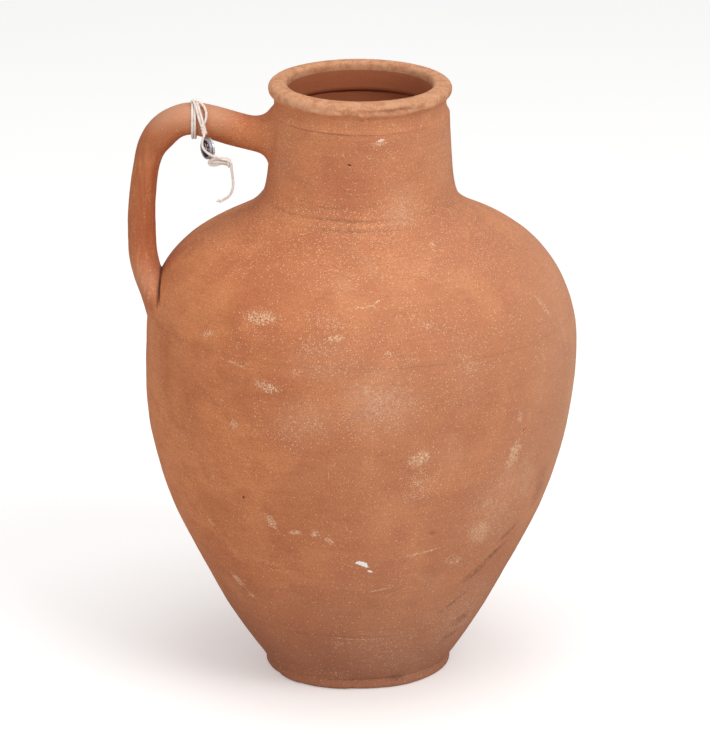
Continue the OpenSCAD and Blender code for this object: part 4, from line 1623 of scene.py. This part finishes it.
    def _twist(self, phase: float) -> list[tuple[float, ...]]:
        """Points of one ply of the stem, wound round the line from the swing to the tilt point."""
        start, end = np.array(self.swing), np.array(self.tilt)
        way = (end - start) / np.linalg.norm(end - start)
        side = np.cross(way, (0, 1, 0))
        side /= np.linalg.norm(side)
        front = np.cross(way, side)
        points = []
        for t in np.linspace(0.0, 0.93, 8):
            turn = math.radians(phase - 330 * t)
            points.append(tuple(start + (end - start) * t + 0.98 * (side * math.cos(turn) + front * math.sin(turn))))
        return points

    def _strand(
        self, name: str, points: Sequence[Sequence[float]], radius: float | None = None, flat: float = 1.0,
    ) -> tuple[Piece, np.ndarray]:
        """One twisted string along points, and the line that it follows."""
        line = smooth_line(points)
        curve = bpy.data.curves.new(name, "CURVE")
        curve.dimensions = "3D"
        spline = curve.splines.new("POLY")
        spline.points.add(len(line) - 1)
        spline.points.foreach_set("co", np.column_stack([line, np.ones(len(line))]).ravel())
        made = bpy.data.objects.new(name, curve)
        bpy.context.scene.collection.objects.link(made)
        radius = radius or self.diameter * 0.54
        made = run_tree(made, self.trees.string, name, Radius=radius * MM, Flatness=flat, Material=self.finishes.string)
        return made, line

    def _hung(
        self, strand: tuple[Piece, np.ndarray], nodes: Sequence[str],
    ) -> None:
        """Hides the nodes that a hanging strand stands in for, and fixes the strand's place in its mesh."""
        made, line = strand
        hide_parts(*nodes)
        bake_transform(made)

    def _binding(self) -> tuple[Piece, np.ndarray]:
        """The turns of string that bind the end of the stem."""
        start, end = np.array(self.swing), np.array(self.tilt)
        way = (end - start) / np.linalg.norm(end - start)
        side = np.cross(way, (0, 1, 0))
        side /= np.linalg.norm(side)
        front = np.cross(way, side)
        points = []
        for i in range(25):
            turn = FULL_TURN * i / 12
            points.append(tuple(end + way * (0.35 * i / 12 - 0.4) * 1.6 + 1.5 * (side * math.cos(turn) + front * math.sin(turn))))
        made, line = self._strand("string_binding", points, 0.6)
        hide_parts("stem_knot")
        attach(made, Body.HANGER.value)
        return made, line

    def _bundle(self) -> Piece:
        """The pulled-flat knot beside the tag: strands that lie side by side and cross."""
        parts = [self._strand(f"wad_{i}", line, thick)[0] for i, (line, thick) in enumerate(self.wad)]
        made = joined("string_bundle", parts, self.finishes.string)
        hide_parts("tie_knot")
        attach(made, Body.TAG.value)
        return made

    def _tip(self) -> Piece:
        """The small overhand knot at the tail's end, with a stub of string beyond it."""
        at = np.array((-101.4, -24.0, 365.0))
        points = [tuple(at + np.array((1.4 - 2.6 * t, 0.75 * math.cos(9 * t), 0.75 * math.sin(9 * t)))) for t in np.linspace(0, 1, 14)]
        points.append(tuple(at + np.array((-2.6, 0.1, -0.3))))
        made, _ = self._strand("string_tip", points, 0.6)
        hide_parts("tail_tip")
        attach(made, Body.TAG.value)
        return made


def joined(name: str, parts: Sequence[Piece], material: Finish) -> Piece:
    """One mesh made of several, with their along and around numbers kept; the parts are removed."""
    points, faces, total = [], [], 0
    kept: dict[str, list[np.ndarray]] = {"along": [], "around": []}
    for part in parts:
        mesh = part.data
        found = np.zeros(len(mesh.vertices) * 3)
        mesh.vertices.foreach_get("co", found)
        points.append(found.reshape(-1, 3))
        faces += [tuple(v + total for v in p.vertices) for p in mesh.polygons]
        total += len(mesh.vertices)
        for label, values in kept.items():
            read = np.zeros(len(mesh.vertices))
            if label in mesh.attributes:
                mesh.attributes[label].data.foreach_get("value", read)
            values.append(read)
        bpy.data.objects.remove(part)
    made = plain_mesh(name, np.concatenate(points), faces, **{k: np.concatenate(v) for k, v in kept.items()})
    made.data.materials.append(material)
    return made


# ---------------------------------------------------------------------------
# The tag
# ---------------------------------------------------------------------------


@dataclass
class HungTag:
    """The pressed metal tag: a dark stamped face with a beaded border, and a bright cupped back."""

    trees: GeometryTrees
    finishes: Finishes
    centre: tuple[float, float, float] = (-110.3, -22.6, 404.6)
    radius: float = 8.2
    thickness: float = 4.2
    turned: float = 60.0
    segments: int = 96

    def build(self) -> list[Piece]:
        """Builds and dresses both halves, the beads and the relief."""
        r, t = self.radius, self.thickness / 2
        face = [
            (0, 0), (r - 0.7, 0), (r - 0.45, 0.15), (r - 0.3, 0.5), (r - 0.3, t - 0.7), (r - 0.45, t - 0.25), (r - 0.8, t - 0.05), (r - 1.1, t),
            (r - 1.8, t - 0.03), (r - 2.15, t - 0.3), (r - 2.4, t - 0.85), (r - 2.8, t - 1), (r - 4.2, t - 0.97), (0, t - 0.9),
        ]
        back = [
            (0, -t), (r - 2.6, -t), (r - 1.6, -t + 0.1), (r - 0.9, -t + 0.3), (r - 0.2, -1.62), (r, -1.4), (r - 0.08, -1.22), (r - 0.35, -1.08),
            (r - 0.45, -0.98), (r - 0.35, -0.86), (r - 0.05, -0.66), (r, -0.48), (r - 0.12, -0.28), (r - 0.6, -0.04), (r - 0.9, 0), (0, 0),
        ]
        pieces = [
            self._pressed("tag_stamped_face", face, "tag_face", Slot.STAMPED, self.finishes.stamped),
            self._pressed("tag_polished_back", back, "tag_back", Slot.POLISHED, self.finishes.polished),
            self._beads(), self._relief(),
        ]
        return pieces

    def _place(self) -> Matrix:
        """From the tag's own frame, with Z out of its face, to the jug's."""
        turn = Matrix.Rotation(-math.radians(self.turned), 4, "Z") @ Matrix.Rotation(math.pi / 2, 4, "X")
        return Matrix.Translation(Vector(self.centre) * MM) @ turn

    def _pressed(
        self, name: str, section: Sequence[tuple[float, float]], node: str, slot: Slot, material: Finish,
    ) -> Piece:
        """One half of the tag, spun round its own axis."""
        rows = np.array(section[1:-1]) * MM
        angle = np.linspace(0, FULL_TURN, self.segments, endpoint=False)
        ring = np.stack(
            [
                np.outer(rows[:, 0], np.cos(angle)), np.outer(rows[:, 0], np.sin(angle)),
                np.tile(rows[:, 1:], (1, self.segments))
            ],
            axis=2
        )
        points = np.concatenate([ring.reshape(-1, 3), [[0, 0, section[0][1] * MM], [0, 0, section[-1][1] * MM]]])
        faces = grid_faces(len(rows), self.segments, False)
        first, last, top_row = len(points) - 2, len(points) - 1, (len(rows) - 1) * self.segments
        for j in range(self.segments):
            nxt = (j + 1) % self.segments
            faces += [(first, nxt, j), (last, top_row + j, top_row + nxt)]
        out = np.hypot(points[:, 0], points[:, 1]) / MM
        sunk = np.zeros(len(points))
        if slot is Slot.STAMPED:
            sunk = smooth_step((self.radius - 1.7 - out) / 0.5) * (points[:, 2] > 0.5 * MM)
        made = plain_mesh(name, points, faces, crease=sunk)
        made.data.transform(self._place())
        made.data.materials.append(material)
        return self._worn(made, slot, node)

    def _beads(self) -> Piece:
        """The border of small beads round the face."""
        seed = plain_mesh("tag_beads", np.zeros((1, 3)), [])
        made = run_tree(
            seed, self.trees.beads, "tag_beads", Ring_Radius=(self.radius - 1.25) * MM, Bead_Radius=0.5 * MM, Count=46,
            Height=(self.thickness / 2 - 0.02) * MM, Material=self.finishes.stamped,
        )
        made.data.transform(self._place())
        return self._worn(made, Slot.STAMPED)

    def _relief(self) -> Piece:
        """A plain raised rosette in the middle of the face, with no lettering."""
        points, faces = [], []
        floor = (self.thickness / 2 - 1.02) * MM
        for petal in range(7):
            ring = FULL_TURN * petal / 6
            far = 0.0 if petal == 6 else 2.9
            centre = np.array((far * math.cos(ring), far * math.sin(ring), 0)) * MM
            long, short, tall = (1.15, 1.15, 0.55) if petal == 6 else (1.55, 0.78, 0.5)
            base = len(points)
            rows, columns = 5, 16
            for i in range(rows):
                rise = 0.5 * math.pi * i / rows
                for j in range(columns):
                    a = FULL_TURN * j / columns
                    spot = np.array((long * math.cos(a) * math.cos(rise), short * math.sin(a) * math.cos(rise)))
                    turned = (
                        spot[0] * math.cos(ring) - spot[1] * math.sin(ring),
                        spot[0] * math.sin(ring) + spot[1] * math.cos(ring)
                    )
                    points.append(centre + np.array((turned[0], turned[1], tall * math.sin(rise))) * MM + np.array((0, 0, floor)))
            faces += [tuple(v + base for v in f) for f in grid_faces(rows, columns, False)]
            top = len(points)
            points.append(centre + np.array((0, 0, tall * MM + floor)))
            low = len(points)
            points.append(centre + np.array((0, 0, floor)))
            for j in range(columns):
                nxt = (j + 1) % columns
                faces += [
                    (top, base + (rows - 1) * columns + j, base + (rows - 1) * columns + nxt),
                    (low, base + nxt, base + j)
                ]
        made = plain_mesh("tag_rosette", np.array(points), faces)
        made.data.transform(self._place())
        made.data.materials.append(self.finishes.polished)
        return self._worn(made, Slot.STAMPED)

    def _worn(self, made: Piece, slot: Slot, *nodes: str) -> Piece:
        """Lets a piece ride on the tag."""
        if nodes:
            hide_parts(*nodes)
        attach(made, Body.TAG.value)
        return made


# ---------------------------------------------------------------------------
# Camera, floor and light
# ---------------------------------------------------------------------------


@dataclass
class Studio:
    """A pale floor, soft light and a long lens a little above the jug's shoulder."""

    distance: float = 3.9
    elevation: float = 18.3
    roll: float = 0.28
    aim: tuple[float, float, float] = (-0.00226, 0.0, 0.2237)
    lens: float = 251.7
    floor_tone: tuple = tone(250, 250, 250)

    def camera(self) -> None:
        """Creates the camera and makes it the scene's."""
        data = bpy.data.cameras.new("camera")
        data.lens, data.sensor_width = self.lens, 36.0
        data.clip_start, data.clip_end = 0.1, 50.0
        made = bpy.data.objects.new("camera", data)
        tilt = math.radians(self.elevation)
        made.location = Vector(self.aim) + Vector((0, -math.cos(tilt), math.sin(tilt))) * self.distance
        turn = Matrix.Rotation(math.pi / 2 - tilt, 4, "X") @ Matrix.Rotation(math.radians(self.roll), 4, "Z")
        made.rotation_euler = turn.to_euler()
        bpy.context.scene.collection.objects.link(made)
        bpy.context.scene.camera = made

    def floor(self) -> None:
        """A plain pale floor."""
        material = bpy.data.materials.new("studio_floor")
        material.use_nodes = True
        board = Board(material.node_tree)
        shader = next(n for n in material.node_tree.nodes if n.type == "BSDF_PRINCIPLED")
        place = board.add("ShaderNodeTexCoord").outputs["Object"]
        cloud = board.noise(place, 3.0, 2.0, 0.5)
        seen = board.add("ShaderNodeLightPath").outputs["Is Camera Ray"]
        plain = board.mix(cloud, self.floor_tone, tone(247, 247, 247))
        board.feed(shader.inputs["Base Color"], board.mix(seen, tone(206, 204, 202), plain))
        shader.inputs["Roughness"].default_value = 0.9
        shader.inputs["Specular IOR Level"].default_value = 0.0
        shader.inputs["Emission Color"].default_value = (1, 1, 1, 1)
        board.feed(shader.inputs["Emission Strength"], board.span(seen, 0.0, 1.0, 0.12, 0.24))
        half = 9.0
        corners = np.array([(-half, -half, 0), (half, -half, 0), (half, half, 0), (-half, half, 0)])
        made = plain_mesh("studio_floor", corners - np.array((0, 0, 0.0002)), [(0, 1, 2, 3)])
        made.data.materials.append(material)

    def lights(self) -> None:
        """A white room with a broad key light from the right front."""
        world = bpy.data.worlds.new("room")
        world.use_nodes = True
        ground = world.node_tree.nodes["Background"]
        ground.inputs["Color"].default_value = (1.0, 0.99, 0.98, 1)
        ground.inputs["Strength"].default_value = 0.57
        bpy.context.scene.world = world
        self._panel("key", (1.5, -1.7, 2.3), 1.4, 33.0)
        self._panel("fill", (-1.6, -1.8, 1.1), 1.8, 11.0)
        self._panel("top", (0.1, -0.2, 2.6), 1.6, 15.0)
        bpy.context.scene.view_settings.view_transform = "Standard"
        bpy.context.scene.view_settings.look = "None"

    def _panel(self, name: str, place: tuple[float, float, float], size: float, power: float) -> None:
        """One square soft light that faces the jug."""
        data = bpy.data.lights.new(name, "AREA")
        data.size, data.energy = size, power
        made = bpy.data.objects.new(name, data)
        made.location = place
        made.rotation_euler = (Vector((0, 0, 0.24)) - Vector(place)).to_track_quat("-Z", "Y").to_euler()
        bpy.context.scene.collection.objects.link(made)


def main() -> None:
    """Builds the jug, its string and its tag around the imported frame."""
    logging.basicConfig(level=logging.INFO, format="%(name)s: %(message)s")
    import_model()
    studio = Studio()
    studio.camera()
    sizes = JugSizes.from_frame()
    wall = WallProfile(sizes)
    trees = GeometryTrees()
    finishes = Finishes(ShaderGroups(), wall)
    pieces = TiedString(trees, finishes).build()
    pieces += HungTag(trees, finishes).build()
    hand = HandOfPotter(sizes, wall)
    pieces += ThrownBody(sizes, hand, trees, finishes).build()
    pieces.append(PulledHandle(wall, hand, trees, finishes).build())
    studio.floor()
    studio.lights()
    for piece in pieces:
        LOG.info("%s: %d faces", piece.name, len(piece.data.polygons))


if __name__ == "__main__":
    main()
